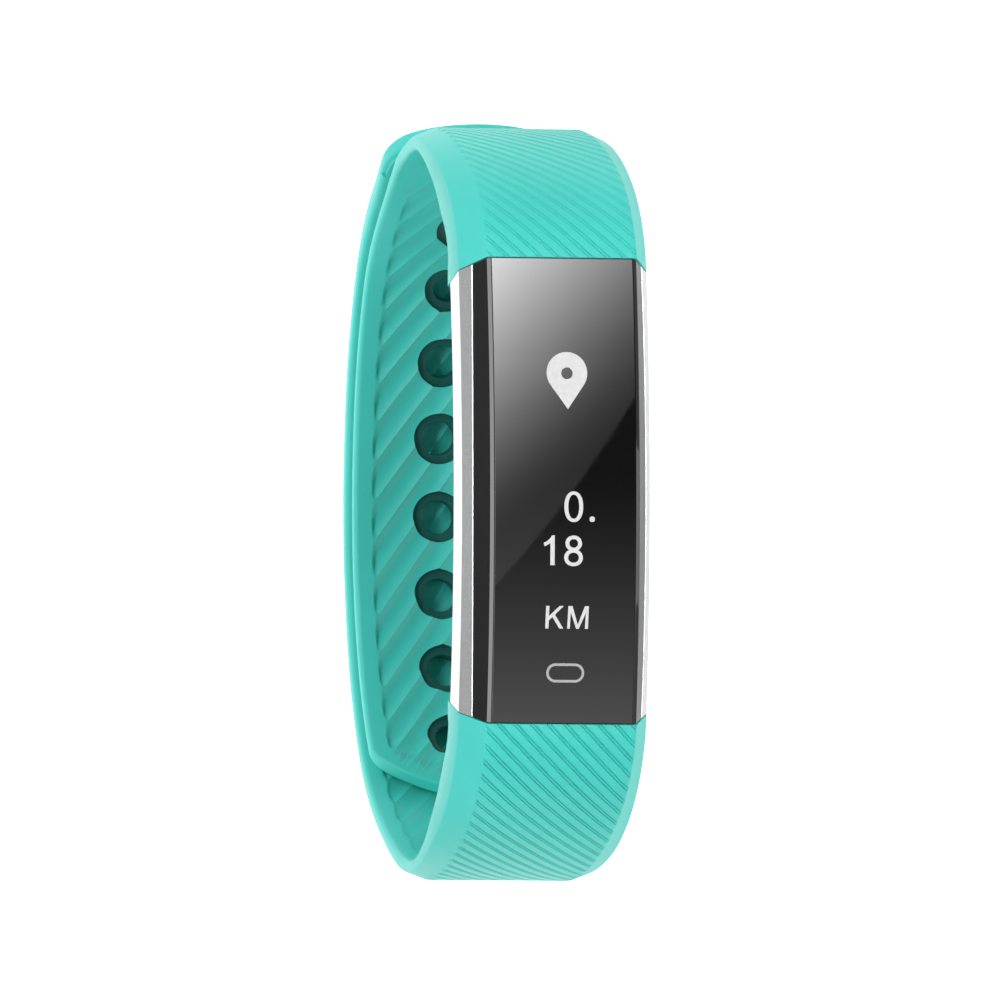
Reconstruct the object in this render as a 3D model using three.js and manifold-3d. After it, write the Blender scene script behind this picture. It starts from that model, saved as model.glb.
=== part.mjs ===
// Slim fitness tracker band: a pod with a bevelled black window, held between two
// flexible straps that overlap down the back and close with a two-peg clasp.
//
// Units are millimetres. +X across the band, +Y along the pod towards the hole strap,
// +Z out of the window. The closed band stands on the flat of its back at Z = 0.
import * as THREE from 'three';
import { mergeVertices } from 'three/addons/utils/BufferGeometryUtils.js';
import Module from 'manifold-3d';

const wasm = await Module();
wasm.setup();

// ---------------------------------------------------------------- dimensions
const DEPTH = 45.3;            // window apex to the back of the closed band
const POD_HALF_LEN = 18.85;    // half length of the window, at its ends
const POD_SAG = 1.15;          // how far the window falls from its middle to its ends
const END_SLOPE = 0.321;       // the pod's ends lean in towards the wrist by this much per mm
const END_GAP = 0.12;          // half the seam between pod and strap
const HALF_W = 7.85;           // half width of the pod
const WINDOW_HALF = 5.9;       // flat window
const EDGE_HALF = 6.25;        // outer edge of the small bevel round the window
const EDGE_DROP = 0.22;
const CHAMFER_DEPTH = 3.05;    // depth of the long chamfer, window to side
const SIDE_DEPTH = 5.75;       // bottom of the straight side
const LENS_MID = 1.9, LENS_END = 2.77;   // lower edge of the lens, middle and ends
const COVER_TOP = 6.15;
const COVER_BACK = 10.4;       // wrist face of the back cover
const STRAP_HALF_W = 7.3;      // half width of the straps behind the pod
const STRAP_GAP = 0.3;         // between the two straps where they overlap
const CUT = 0.1;               // half the gap at a flex line
const HOLE_PITCH = 6.45, HOLE_R = 1.4, RECESS_R = 2.15, RECESS_DEPTH = 0.6;
const HOLE_COUNT = 9;
const PEG_PITCH = HOLE_PITCH;

// ---------------------------------------------------------------- mesh helpers
function geometryFrom(positions, index) {
  const g = new THREE.BufferGeometry();
  g.setAttribute('position', new THREE.Float32BufferAttribute(positions, 3));
  g.setIndex(index);
  return g;
}

function volumeOf(g) {
  const p = g.getAttribute('position'), ix = g.getIndex();
  const a = new THREE.Vector3(), b = new THREE.Vector3(), c = new THREE.Vector3();
  let v = 0;
  for (let i = 0; i < ix.count; i += 3) {
    a.fromBufferAttribute(p, ix.getX(i));
    b.fromBufferAttribute(p, ix.getX(i + 1));
    c.fromBufferAttribute(p, ix.getX(i + 2));
    v += a.dot(b.cross(c)) / 6;
  }
  return v;
}

// A closed body through rings of equal length, each ring convex and flat enough to cap.
function loft(rings) {
  const n = rings[0].length, pos = [], ix = [];
  for (const ring of rings) for (const q of ring) pos.push(...q);
  for (let i = 0; i + 1 < rings.length; i++) {
    for (let j = 0; j < n; j++) {
      const k = (j + 1) % n;
      const a = i * n + j, b = i * n + k, c = (i + 1) * n + k, d = (i + 1) * n + j;
      ix.push(a, b, c, a, c, d);
    }
  }
  const last = (rings.length - 1) * n;
  for (let j = 1; j + 1 < n; j++) {
    ix.push(0, j + 1, j);
    ix.push(last, last + j, last + j + 1);
  }
  const g = geometryFrom(pos, ix);
  if (volumeOf(g) < 0) {
    const flipped = [];
    for (let i = 0; i < ix.length; i += 3) flipped.push(ix[i], ix[i + 2], ix[i + 1]);
    g.setIndex(flipped);
  }
  return g;
}

function solid(geometry) {
  const g = geometry.clone();
  for (const name of ['normal', 'uv']) if (g.getAttribute(name)) g.deleteAttribute(name);
  const m = mergeVertices(g, 1e-5);
  return new wasm.Manifold(new wasm.Mesh({
    numProp: 3,
    vertProperties: new Float32Array(m.getAttribute('position').array),
    triVerts: new Uint32Array(m.getIndex().array),
  }));
}

function geometryOf(manifold) {
  const m = manifold.getMesh();
  return geometryFrom(Array.from(m.vertProperties), Array.from(m.triVerts));
}

function cut(geometry, ...tools) {
  let s = solid(geometry);
  for (const t of tools) s = s.subtract(solid(t));
  return geometryOf(s);
}

function box(x0, x1, y0, y1, z0, z1) {
  return new THREE.BoxGeometry(x1 - x0, y1 - y0, z1 - z0)
    .translate((x0 + x1) / 2, (y0 + y1) / 2, (z0 + z1) / 2);
}

// A plate with rounded corners, lying in X and Y.
function plate(halfX, halfY, z0, z1, r, cx = 0, cy = 0, steps = 3) {
  const s = new THREE.Shape();
  s.moveTo(halfX - r, -halfY);
  s.absarc(halfX - r, -halfY + r, r, -Math.PI / 2, 0, false);
  s.absarc(halfX - r, halfY - r, r, 0, Math.PI / 2, false);
  s.absarc(-halfX + r, halfY - r, r, Math.PI / 2, Math.PI, false);
  s.absarc(-halfX + r, -halfY + r, r, Math.PI, 1.5 * Math.PI, false);
  s.closePath();
  return new THREE.ExtrudeGeometry(s, { depth: z1 - z0, bevelEnabled: false, curveSegments: steps })
    .translate(cx, cy, z0);
}

function placed(geometry, matrix) {
  return geometry.clone().applyMatrix4(matrix);
}

const group = new THREE.Group();
group.name = 'fitness_tracker_band';

const finishes = {
  strap: { color: 0x3fccbf, roughness: 0.5, metalness: 0 },
  lens: { color: 0x0b0b0c, roughness: 0.08, metalness: 0 },
  silver: { color: 0xc9cacd, roughness: 0.32, metalness: 0.85 },
  dark: { color: 0x202225, roughness: 0.55, metalness: 0 },
  rubber: { color: 0x15161a, roughness: 0.8, metalness: 0 },
  board: { color: 0x14492c, roughness: 0.5, metalness: 0.05 },
  chip: { color: 0x1b1c1e, roughness: 0.55, metalness: 0.05 },
  gold: { color: 0xd8ad4b, roughness: 0.25, metalness: 1 },
  steel: { color: 0xb8babd, roughness: 0.28, metalness: 1 },
  amber: { color: 0xc07a25, roughness: 0.4, metalness: 0 },
  foil: { color: 0x9da2a8, roughness: 0.42, metalness: 0.7 },
  tape: { color: 0xd9d7cf, roughness: 0.7, metalness: 0 },
  ceramic: { color: 0xe6e2d8, roughness: 0.5, metalness: 0 },
  glass: { color: 0x0a0d12, roughness: 0.1, metalness: 0 },
};

function add(name, geometry, finish) {
  const g = geometry.index ? geometry.clone() : mergeVertices(geometry);
  if (g.getAttribute('uv')) g.deleteAttribute('uv');
  g.computeVertexNormals();
  const mesh = new THREE.Mesh(g, new THREE.MeshStandardMaterial(finishes[finish]));
  mesh.name = name;
  group.add(mesh);
  return mesh;
}

// ---------------------------------------------------------------- the pod's outside
// Depth d is measured from the window's apex towards the wrist, so Z = DEPTH - d.
const Z = (d) => DEPTH - d;
const podEnd = (d) => POD_HALF_LEN - (d - POD_SAG) * END_SLOPE - END_GAP;
const sag = (t) => POD_SAG * t * t;
const chamferX = (d, t) =>
  EDGE_HALF + (HALF_W - EDGE_HALF) * (d - sag(t) - EDGE_DROP) / (CHAMFER_DEPTH - EDGE_DROP);
const lensEdge = (t) => LENS_MID + (LENS_END - LENS_MID) * t * t;
const STATIONS = [-1, -0.8, -0.6, -0.4, -0.2, 0, 0.2, 0.4, 0.6, 0.8, 1];

function podLoft(section, stations = STATIONS) {
  return loft(stations.map((t) => section(t).map(([x, d]) => [x, t * podEnd(d), Z(d)])));
}

const bothSides = (half) => [...half, ...half.map(([x, d]) => [-x, d]).reverse()];

// front_lens: a shallow tray, black all over, thinned behind the window
const lensBlank = podLoft((t) => bothSides([
  [WINDOW_HALF, sag(t)],
  [EDGE_HALF, sag(t) + EDGE_DROP],
  [chamferX(lensEdge(t), t), lensEdge(t)],
]));
add('front_lens', cut(lensBlank, box(-5.3, 5.3, -15.9, 14.9, Z(6), Z(1.35))), 'lens');

// lens_adhesive: a thin bonding frame between lens and housing, inboard of the visible seam
const adhesiveBlank = podLoft((t) => bothSides([
  [6.5, lensEdge(t) + 0.1],
  [6.5, lensEdge(t) + 0.3],
]), STATIONS.map((t) => t * 0.93));
add('lens_adhesive', cut(adhesiveBlank, box(-5.9, 5.9, -16.6, 16.6, Z(6), Z(0))), 'tape');

// housing: silver ring with the chamfer's lower part and the straight sides
const TONGUE_N = 4.6;          // the plug's middle, measured down the pod's end face
const END_DIR = new THREE.Vector3(0, -END_SLOPE, -1).normalize();     // down the end face (hole strap end)
const TONGUE_TILT = 22 * Math.PI / 180;
const TONGUE_W = 12, TONGUE_T = 1.9, TONGUE_OUT = 8.4, TONGUE_IN = 1.9;
const LUG_W = 10, LUG_T = 2.0, LUG_OUT = 5.6;
const endPoint = new THREE.Vector3(0, POD_HALF_LEN, Z(POD_SAG)).addScaledVector(END_DIR, TONGUE_N);

// Frame whose +Y runs out of the pod along the plug; side = 1 hole strap end, -1 peg strap end.
function plugMatrix(side) {
  const m = new THREE.Matrix4().makeRotationX(-TONGUE_TILT);
  m.setPosition(0, endPoint.y, endPoint.z);
  if (side < 0) m.premultiply(new THREE.Matrix4().makeRotationZ(Math.PI));
  return m;
}
const tongueFrame = plugMatrix(1), lugFrame = plugMatrix(-1);
const tongueSlot = placed(box(-TONGUE_W / 2 - 0.3, TONGUE_W / 2 + 0.3, -8, 2.5, -TONGUE_T / 2 - 0.3, TONGUE_T / 2 + 0.3), tongueFrame);
const lugSlot = placed(box(-LUG_W / 2 - 0.3, LUG_W / 2 + 0.3, -8, 2.5, -LUG_T / 2 - 0.3, LUG_T / 2 + 0.3), lugFrame);

const housingTop = (t) => lensEdge(t) + 0.08;
const housingBlank = podLoft((t) => bothSides([
  [chamferX(housingTop(t), t), housingTop(t)],
  [HALF_W, sag(t) + CHAMFER_DEPTH],
  [HALF_W, sag(t) + SIDE_DEPTH],
]));
const seat = podLoft((t) => bothSides([
  [6.75, lensEdge(t) - 2],
  [6.75, lensEdge(t) + 0.38],
]), STATIONS.map((t) => t * 0.95));
add('housing', cut(housingBlank, seat, box(-6.2, 6.2, -15.1, 15.1, Z(12), Z(0)), tongueSlot, lugSlot), 'silver');

// seal_gasket: a thin frame that follows the housing's lower edge
const gasketBlank = podLoft((t) => bothSides([
  [7.35, sag(t) + SIDE_DEPTH + 0.08],
  [7.35, sag(t) + COVER_TOP - 0.08],
]), STATIONS.map((t) => t * 0.975));
add('seal_gasket', cut(gasketBlank, box(-6.5, 6.5, -15.35, 15.35, Z(12), Z(0)), tongueSlot, lugSlot), 'rubber');

// back_cover: the belly that sits on the wrist
const coverBlank = podLoft((t) => bothSides([
  [7.7, sag(t) + COVER_TOP],
  [7.45, 8.9],
  [6.7, 10.0],
  [5.6, COVER_BACK],
]));
add('back_cover', cut(coverBlank, box(-6.2, 6.2, -15.1, 15.1, Z(9.7), Z(0)), tongueSlot, lugSlot), 'dark');

// ---------------------------------------------------------------- inside the pod
add('display_panel', plate(4.5, 12.2, Z(2.85), Z(1.6), 0.3), 'glass');
add('display_holder', cut(
  plate(5.7, 13.1, Z(3.9), Z(2.75), 0.6),
  box(-4.7, 4.7, -12.4, 12.4, Z(3.0), Z(1)),
  box(-3.4, 3.4, -10.8, 10.8, Z(5), Z(1)),
), 'dark');
// display_flex: a thin strip that leaves the panel's end and folds down towards the board
{
  const s = new THREE.Shape();
  const t = 0.14;
  const path = [[12.4, 2.3], [14.15, 2.3], [14.45, 2.6], [14.45, 5.3], [14.15, 5.6], [11.2, 5.6]];
  const offs = [[12.4, 2.3 + t], [14.09, 2.3 + t], [14.45 - t, 2.66], [14.45 - t, 5.24], [14.09, 5.6 - t], [11.2, 5.6 - t]];
  s.moveTo(path[0][0], -path[0][1]);
  for (const [y, d] of path.slice(1)) s.lineTo(y, -d);
  for (const [y, d] of offs.slice().reverse()) s.lineTo(y, -d);
  s.closePath();
  const g = new THREE.ExtrudeGeometry(s, { depth: 5.2, bevelEnabled: false });
  // shape x is Y, shape y is Z, extrusion is X
  g.applyMatrix4(new THREE.Matrix4().set(0, 0, 1, -2.6, 1, 0, 0, 0, 0, 1, 0, DEPTH, 0, 0, 0, 1));
  add('display_flex', g, 'amber');
}
const cylinderZ = (r, d0, d1, x, y, seg = 24) =>
  new THREE.CylinderGeometry(r, r, d1 - d0, seg).rotateX(Math.PI / 2).translate(x, y, Z((d0 + d1) / 2));
add('touch_pad', cylinderZ(1.0, 1.5, 1.75, 0, -14.75), 'gold');
add('touch_spacer', plate(1.6, 0.7, Z(3.95), Z(1.85), 0.3, 0, -14.25), 'rubber');
add('main_board', cut(
  plate(5.8, 14.1, Z(4.85), Z(4.05), 0.8, 0, -0.8),
  box(-7, -4.6, 6.0, 8.4, Z(6), Z(3)),
), 'board');
add('bluetooth_chip', plate(3.0, 3.0, Z(5.8), Z(4.95), 0.2, -1.2, 1.2), 'chip');
add('flash_chip', plate(1.5, 2.0, Z(5.6), Z(4.95), 0.15, 3.9, 3.2), 'chip');
add('motion_sensor', plate(1.0, 1.0, Z(5.85), Z(4.95), 0.1, 3.9, -1.2), 'chip');
add('power_chip', plate(1.5, 1.5, Z(5.7), Z(4.95), 0.15, -3.4, -4.4), 'chip');
add('crystal', plate(0.8, 1.6, Z(5.7), Z(4.95), 0.2, 0.8, -4.2), 'steel');
add('chip_antenna', plate(0.8, 1.6, Z(6.1), Z(4.95), 0.1, -4.6, 10.4), 'ceramic');
add('battery', plate(5.1, 9.6, Z(9.4), Z(6.4), 1.0, 0, 3.3), 'foil');
add('battery_tape', plate(4.0, 8.6, Z(9.6), Z(9.45), 0.5, 0, 3.3), 'tape');
add('battery_guard_board', box(-4.6, 4.6, 13.2, 13.9, Z(9.0), Z(6.6)), 'board');

// vibration motor: a flat can with an off-centre weight on a fixed pin
const MOTOR_Y = -11.0;
function lathe(profile, x, y, seg = 28) {
  // profile: [radius, depth] pairs, closed on itself or on the axis
  const pts = profile.map(([r, d]) => new THREE.Vector2(r, -d));
  return new THREE.LatheGeometry(pts, seg).rotateX(Math.PI / 2).translate(x, y, DEPTH);
}
function ringLathe(profile, x, y, seg = 28) {
  const closed = [...profile, profile[0]];
  let g = lathe(closed, x, y, seg);
  g.deleteAttribute('normal'); g.deleteAttribute('uv');
  g = mergeVertices(g, 1e-5);
  return outward(g);
}
function axisLathe(profile, x, y, seg = 28) {
  let g = lathe(profile, x, y, seg);
  g.deleteAttribute('normal'); g.deleteAttribute('uv');
  g = mergeVertices(g, 1e-5);
  // triangles that collapse on the axis are dropped
  const ix = g.getIndex().array, keep = [];
  for (let i = 0; i < ix.length; i += 3) {
    const [a, b, c] = [ix[i], ix[i + 1], ix[i + 2]];
    if (a !== b && b !== c && c !== a) keep.push(a, b, c);
  }
  g.setIndex(keep);
  return outward(g);
}
function outward(g) {
  if (volumeOf(g) < 0) {
    const ix = Array.from(g.getIndex().array);
    for (let i = 0; i < ix.length; i += 3) [ix[i + 1], ix[i + 2]] = [ix[i + 2], ix[i + 1]];
    g.setIndex(ix);
  }
  return g;
}
add('motor_can', axisLathe([[0, 9.55], [3.9, 9.55], [4.0, 9.45], [4.0, 6.75], [3.75, 6.75], [3.75, 9.3], [0, 9.3]], 0, MOTOR_Y), 'steel');
add('motor_plate', cylinderZ(3.95, 6.35, 6.65, 0, MOTOR_Y), 'dark');
add('motor_shaft', cylinderZ(0.4, 6.75, 9.2, 0, MOTOR_Y, 20), 'steel');
{
  const s = new THREE.Shape();
  s.moveTo(3.45 * Math.cos(-0.35), 3.45 * Math.sin(-0.35));
  s.absarc(0, 0, 3.45, -0.35, Math.PI + 0.35, false);
  s.lineTo(-1.0, -0.7);
  s.absarc(0, 0, 1.22, Math.PI + 0.61, 2 * Math.PI - 0.61, false);
  s.closePath();
  const bore = new THREE.Path();
  bore.absarc(0, 0, 0.48, 0, 2 * Math.PI, true);
  s.holes.push(bore);
  const g = new THREE.ExtrudeGeometry(s, { depth: 1.5, bevelEnabled: false, curveSegments: 20 });
  add('motor_rotor', g.translate(0, MOTOR_Y, Z(8.8)), 'gold');
}

// plug on the hole strap's end, and plain lug on the other end
add('usb_tongue', placed(box(-TONGUE_W / 2, TONGUE_W / 2, -TONGUE_IN, TONGUE_OUT, -TONGUE_T / 2, TONGUE_T / 2), tongueFrame), 'dark');
[-3.5, -1.0, 1.0, 3.5].forEach((x, i) => {
  const outer = Math.abs(x) > 2;
  add(`usb_contact_${i + 1}`, placed(
    box(x - 0.6, x + 0.6, outer ? 0.7 : 1.3, outer ? 7.9 : 7.2, TONGUE_T / 2 + 0.03, TONGUE_T / 2 + 0.15), tongueFrame), 'gold');
});
add('strap_lug', placed(box(-LUG_W / 2, LUG_W / 2, -TONGUE_IN, LUG_OUT, -LUG_T / 2, LUG_T / 2), lugFrame), 'dark');

// ---------------------------------------------------------------- straps
// A strap follows its outer line, given as [depth, Y] points from the pod round to its tip.
const PEG_LINE = [
  [1.15, -18.85], [1.6, -20.45], [2.45, -22.1], [3.6, -23.7], [5.3, -25.35], [8.2, -27.3], [11.2, -28.7],
  [14.6, -29.85], [18.4, -30.65], [22.0, -30.9], [25.6, -30.4], [29.2, -29.1], [32.8, -27.2], [35.6, -25.3],
  [37.6, -23.5], [39.2, -21.6], [41.0, -18.7], [42.6, -15.3], [43.8, -11.7], [44.7, -7.6], [45.3, -2.6],
  [45.3, 2.6], [44.75, 7.8], [43.85, 12.3], [42.4, 16.6], [40.9, 19.8], [39.1, 22.6], [36.9, 24.95],
  [34.2, 27.05], [31.5, 29.15], [29.6, 30.1], [27.4, 30.89],
];
const HOLE_LINE_FRONT = [
  [1.15, 18.85], [1.65, 20.5], [2.75, 22.55], [4.35, 24.45], [6.4, 26.05], [9.4, 27.65], [12.5, 28.8],
  [15.6, 29.6], [19.0, 30.05], [22.5, 29.85],
];

const table = (rows) => (s) => {
  if (s <= rows[0][0]) return rows[0][1];
  for (let i = 1; i < rows.length; i++) {
    if (s <= rows[i][0]) {
      const [s0, v0] = rows[i - 1], [s1, v1] = rows[i];
      return v0 + (v1 - v0) * (s - s0) / (s1 - s0);
    }
  }
  return rows[rows.length - 1][1];
};

class Line {
  constructor(points) {
    this.curve = new THREE.CatmullRomCurve3(points.map(([d, y]) => new THREE.Vector3(0, y, Z(d))), false, 'centripetal');
    this.curve.arcLengthDivisions = 2000;
    this.length = this.curve.getLength();
    this.middle = new THREE.Vector3(0, 0, DEPTH / 2);
  }
  at(s) {
    const u = THREE.MathUtils.clamp(s / this.length, 0, 1);
    const p = this.curve.getPointAt(u), t = this.curve.getTangentAt(u);
    const n = new THREE.Vector3(0, t.z, -t.y).normalize();
    if (n.dot(this.middle.clone().sub(p)) < 0) n.negate();   // n points in, towards the wrist
    return { p, t, n };
  }
  // arc length of the point nearest to [d, y]
  near(d, y) {
    const q = new THREE.Vector3(0, y, Z(d));
    let best = 0, dist = Infinity;
    for (let s = 0; s <= this.length; s += 0.05) {
      const e = this.at(s).p.distanceTo(q);
      if (e < dist) { dist = e; best = s; }
    }
    return best;
  }
}

const pegLine = new Line(PEG_LINE);
const pegThick = table([[0, 7.2], [2.5, 6.5], [5, 6.0], [8, 5.7], [11, 5.0], [14, 4.0], [18, 2.8], [23, 2.0], [27, 1.85],
  [90, 1.85], [95, 2.1], [104, 2.1], [pegLine.length, 1.6]]);
const holeThick = table([[0, 7.2], [2.5, 6.5], [5, 6.0], [8, 5.45], [11, 4.9], [14, 3.7], [18, 2.7], [23, 1.85], [27, 1.65], [200, 1.6]]);
const chamfer = table([[0, CHAMFER_DEPTH], [7, 3.05], [10, 2.8], [14, 2.05], [17, 1.35], [20, 0.95], [24, 0.65], [30, 0.5], [200, 0.45]]);
const flatHalf = table([[0, 6.25], [8, 6.15], [20, 5.8], [28, 5.85], [200, 5.9]]);
const halfWidth = table([[0, HALF_W], [10, 7.7], [24, STRAP_HALF_W], [200, STRAP_HALF_W]]);

// In the overlap the hole strap lies inside the peg strap, STRAP_GAP away from it.
const overlap = [];
const HOLE_TIP = pegLine.near(36.0, -25.0);
for (let s = pegLine.length - 1.0; s > HOLE_TIP - 0.01; s -= 3.2) {
  const { p, n } = pegLine.at(s);
  const q = p.clone().addScaledVector(n, pegThick(s) + STRAP_GAP + 0.02);
  overlap.push([DEPTH - q.z, q.y]);
}
const holeLine = new Line([...HOLE_LINE_FRONT, ...overlap]);

function tipScale(s, length, round, blunt = 0.16) {
  // the tip is rounded over the last `round` millimetres
  const left = length - s;
  if (left >= round) return 1;
  const k = 1 - left / round;
  return Math.max(blunt, Math.sqrt(Math.max(0, 1 - k ** 2.6)));
}

function strapRing(line, s, thick, shift = 0, round = 5) {
  const { p, t, n } = line.at(s);
  const down = s < 0.01 ? new THREE.Vector3(0, p.y > 0 ? -END_SLOPE : END_SLOPE, -1).normalize() : n;
  const o = p.clone().addScaledVector(t, shift);
  const k = tipScale(s, line.length, round);
  const T = thick(s), w = halfWidth(s) * k, f = Math.min(flatHalf(s), w - 0.35 * Math.min(1, w)), c = Math.min(chamfer(s), T - 0.75), e = 0.3;
  const half = [[f, 0], [w, c], [w, T - e], [w - e, T]];
  return [...half, ...half.map(([x, v]) => [-x, v]).reverse()]
    .map(([x, v]) => [x, o.y + down.y * v, o.z + down.z * v]);
}

function strapPiece(line, thick, s0, s1, step = 2.4, round = 5) {
  const rings = [];
  const atRoot = s0 <= 0, atTip = s1 >= line.length;
  const count = Math.max(2, Math.round((s1 - s0) / step));
  const stops = new Set();
  for (let i = 0; i <= count; i++) stops.add(s0 + (s1 - s0) * i / count);
  if (atTip) for (const back of [round, round * 0.72, round * 0.5, round * 0.32, round * 0.18, round * 0.08, round * 0.02]) {
    if (line.length - back > s0) stops.add(line.length - back);
  }
  const list = [...stops].sort((a, b) => a - b).filter((v, i, all) => i === 0 || v - all[i - 1] > 0.02 || v === s1);
  list.forEach((s, i) => {
    let shift = 0;
    if (i === 0) shift = atRoot ? END_GAP : CUT;
    if (i === list.length - 1 && !atTip) shift = -CUT;
    rings.push(strapRing(line, s, thick, shift, round));
  });
  return loft(rings);
}

// peg strap: socket, front, bottom, back and clasp end
const PEG_CUTS = {
  root: pegLine.near(11.4, -28.8),
  bottom: pegLine.near(30.2, -28.6),
  back: pegLine.near(44.75, 7.8),
  clasp: pegLine.near(40.9, 19.8),
};
const tonguePocket = placed(box(-TONGUE_W / 2 - 0.3, TONGUE_W / 2 + 0.3, -3, TONGUE_OUT + 0.3, -TONGUE_T / 2 - 0.3, TONGUE_T / 2 + 0.3), tongueFrame);
const lugPocket = placed(box(-LUG_W / 2 - 0.3, LUG_W / 2 + 0.3, -3, LUG_OUT + 0.3, -LUG_T / 2 - 0.3, LUG_T / 2 + 0.3), lugFrame);

add('peg_strap_socket', cut(strapPiece(pegLine, pegThick, 0, PEG_CUTS.root, 1.8), lugPocket), 'strap');
add('peg_strap_front', strapPiece(pegLine, pegThick, PEG_CUTS.root, PEG_CUTS.bottom), 'strap');

// the length across the back has a true flat at Z = 0 for the band to stand on
{
  const line = pegLine, s0 = PEG_CUTS.bottom, s1 = PEG_CUTS.back;
  const flat0 = line.near(45.3, -2.6), flat1 = line.near(45.3, 2.6);
  const rings = [];
  const list = [];
  const nLow = Math.round((flat0 - s0) / 2.4), nHigh = Math.round((s1 - flat1) / 2.4);
  for (let i = 0; i < nLow; i++) list.push(s0 + (flat0 - s0) * i / nLow);
  list.push(flat0, flat1);
  for (let i = 1; i <= nHigh; i++) list.push(flat1 + (s1 - flat1) * i / nHigh);
  list.forEach((s, i) => {
    const shift = i === 0 ? CUT : i === list.length - 1 ? -CUT : 0;
    let ring = strapRing(line, s, pegThick, shift);
    if (s === flat0 || s === flat1) {
      const y = s === flat0 ? -2.6 : 2.6, T = pegThick(s), w = halfWidth(s), f = flatHalf(s), c = chamfer(s);
      const half = [[f, 0], [w, c], [w, T - 0.3], [w - 0.3, T]];
      ring = [...half, ...half.map(([x, v]) => [-x, v]).reverse()].map(([x, v]) => [x, y, v]);
    }
    rings.push(ring);
  });
  add('peg_strap_bottom', loft(rings), 'strap');
}
add('peg_strap_back', strapPiece(pegLine, pegThick, PEG_CUTS.back, PEG_CUTS.clasp), 'strap');

// ---------------------------------------------------------------- hole strap and its holes
const holeMid = (s) => {
  const { p, n } = holeLine.at(s);
  return p.clone().addScaledVector(n, holeThick(s) / 2);
};
// arc length along the middle of the strap's thickness, tabulated once
const midTable = [];
{
  let run = 0, last = holeMid(0);
  for (let s = 0; s <= holeLine.length; s += 0.1) {
    const q = holeMid(s);
    run += q.distanceTo(last);
    last = q;
    midTable.push([s, run]);
  }
}
const midRunAt = (s) => midTable[Math.min(midTable.length - 1, Math.round(s / 0.1))][1];
const sAtMidRun = (run) => midTable.reduce((best, row) => Math.abs(row[1] - run) < Math.abs(best[1] - run) ? row : best)[0];
// one hole sits 0.7 mm below the middle of the back; the others follow at the pitch
let sMiddle = 0;
{
  let best = Infinity;
  for (let s = 40; s < holeLine.length; s += 0.05) {
    const { p, n } = holeLine.at(s);
    const y = p.y + n.y * holeThick(s);
    if (Math.abs(y + 0.7) < best) { best = Math.abs(y + 0.7); sMiddle = s; }
  }
}
const FIRST = -5;      // holes from this index (towards the pod) on; the first two hold the pegs
const holeS = [];
for (let i = 0; i < HOLE_COUNT; i++) holeS.push(sAtMidRun(midRunAt(sMiddle) + (FIRST + i) * HOLE_PITCH));

// The two pegs are parallel, square to the chord between the first two holes.
const h0 = holeLine.at(holeS[0]), h1 = holeLine.at(holeS[1]);
const chord = h1.p.clone().sub(h0.p).normalize();
const pegIn = new THREE.Vector3(0, chord.z, -chord.y).normalize();
if (pegIn.dot(h0.n) < 0) pegIn.negate();                  // points in, towards the wrist
const pegMid = h0.p.clone().add(h1.p).multiplyScalar(0.5);

// Frame with +Z along `out` (away from the wrist), +X across the band.
function outwardFrame(origin, out) {
  const z = out.clone().normalize(), x = new THREE.Vector3(1, 0, 0), y = new THREE.Vector3().crossVectors(z, x);
  return new THREE.Matrix4().makeBasis(x, y, z).setPosition(origin);
}
function holeTools(i) {
  const { p, n } = holeLine.at(holeS[i]);
  const out = i < 2 ? pegIn.clone().negate() : n.clone().negate();
  const T = holeThick(holeS[i]);
  const m = outwardFrame(p, out);
  return [
    placed(new THREE.CylinderGeometry(HOLE_R, HOLE_R, 6, 20).rotateX(Math.PI / 2), m),
    placed(new THREE.CylinderGeometry(RECESS_R, RECESS_R, 3, 24).rotateX(Math.PI / 2).translate(0, 0, -T + RECESS_DEPTH - 1.5), m),
  ];
}
const HOLE_CUTS = { root: holeLine.near(12.5, 28.8), top: holeLine.near(25.6, 29.25), back: (holeS[4] + holeS[5]) / 2 };
add('hole_strap_socket', cut(strapPiece(holeLine, holeThick, 0, HOLE_CUTS.root, 1.8), tonguePocket), 'strap');
add('hole_strap_top', strapPiece(holeLine, holeThick, HOLE_CUTS.root, HOLE_CUTS.top), 'strap');
const upper = [], lower = [];
for (let i = 0; i < HOLE_COUNT; i++) (holeS[i] < HOLE_CUTS.back ? upper : lower).push(...holeTools(i));
add('hole_strap_upper', cut(strapPiece(holeLine, holeThick, HOLE_CUTS.top, HOLE_CUTS.back), ...upper), 'strap');
add('hole_strap_tail', cut(strapPiece(holeLine, holeThick, HOLE_CUTS.back, holeLine.length, 2.4, 4.6), ...lower), 'strap');

// ---------------------------------------------------------------- clasp
// Along the pegs: a = 0 at the peg strap's outer face above the first two holes.
const claspOut = pegIn.clone().negate();
const pegSurfaceS = (q) => {
  let best = 0, dist = Infinity;
  for (let s = PEG_CUTS.clasp; s <= pegLine.length; s += 0.02) {
    const v = pegLine.at(s).p.clone().sub(q);
    const off = Math.abs(v.dot(chord));
    if (off < dist) { dist = off; best = s; }
  }
  return best;
};
const sClasp = pegSurfaceS(pegMid);
const claspTop = pegLine.at(sClasp).p;                     // middle of the clasp on the outer face
const lift = claspTop.clone().sub(pegMid).dot(claspOut);   // hole strap's outer face to here
const claspFrame = outwardFrame(claspTop, claspOut);
const PLATE_T = 0.9, PLATE_HALF_X = 4.4, PLATE_HALF_Y = 5.3;
const claspEnd = strapPiece(pegLine, pegThick, PEG_CUTS.clasp, pegLine.length, 2.0, 6.2);
const plateRecess = placed(plate(PLATE_HALF_X + 0.15, PLATE_HALF_Y + 0.15, -PLATE_T - 0.1, 3, 1.6, 0, 0, 4), claspFrame);
const pegHole = (y) => placed(new THREE.CylinderGeometry(1.35, 1.35, 8, 20).rotateX(Math.PI / 2).translate(0, y, 0), claspFrame);
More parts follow.
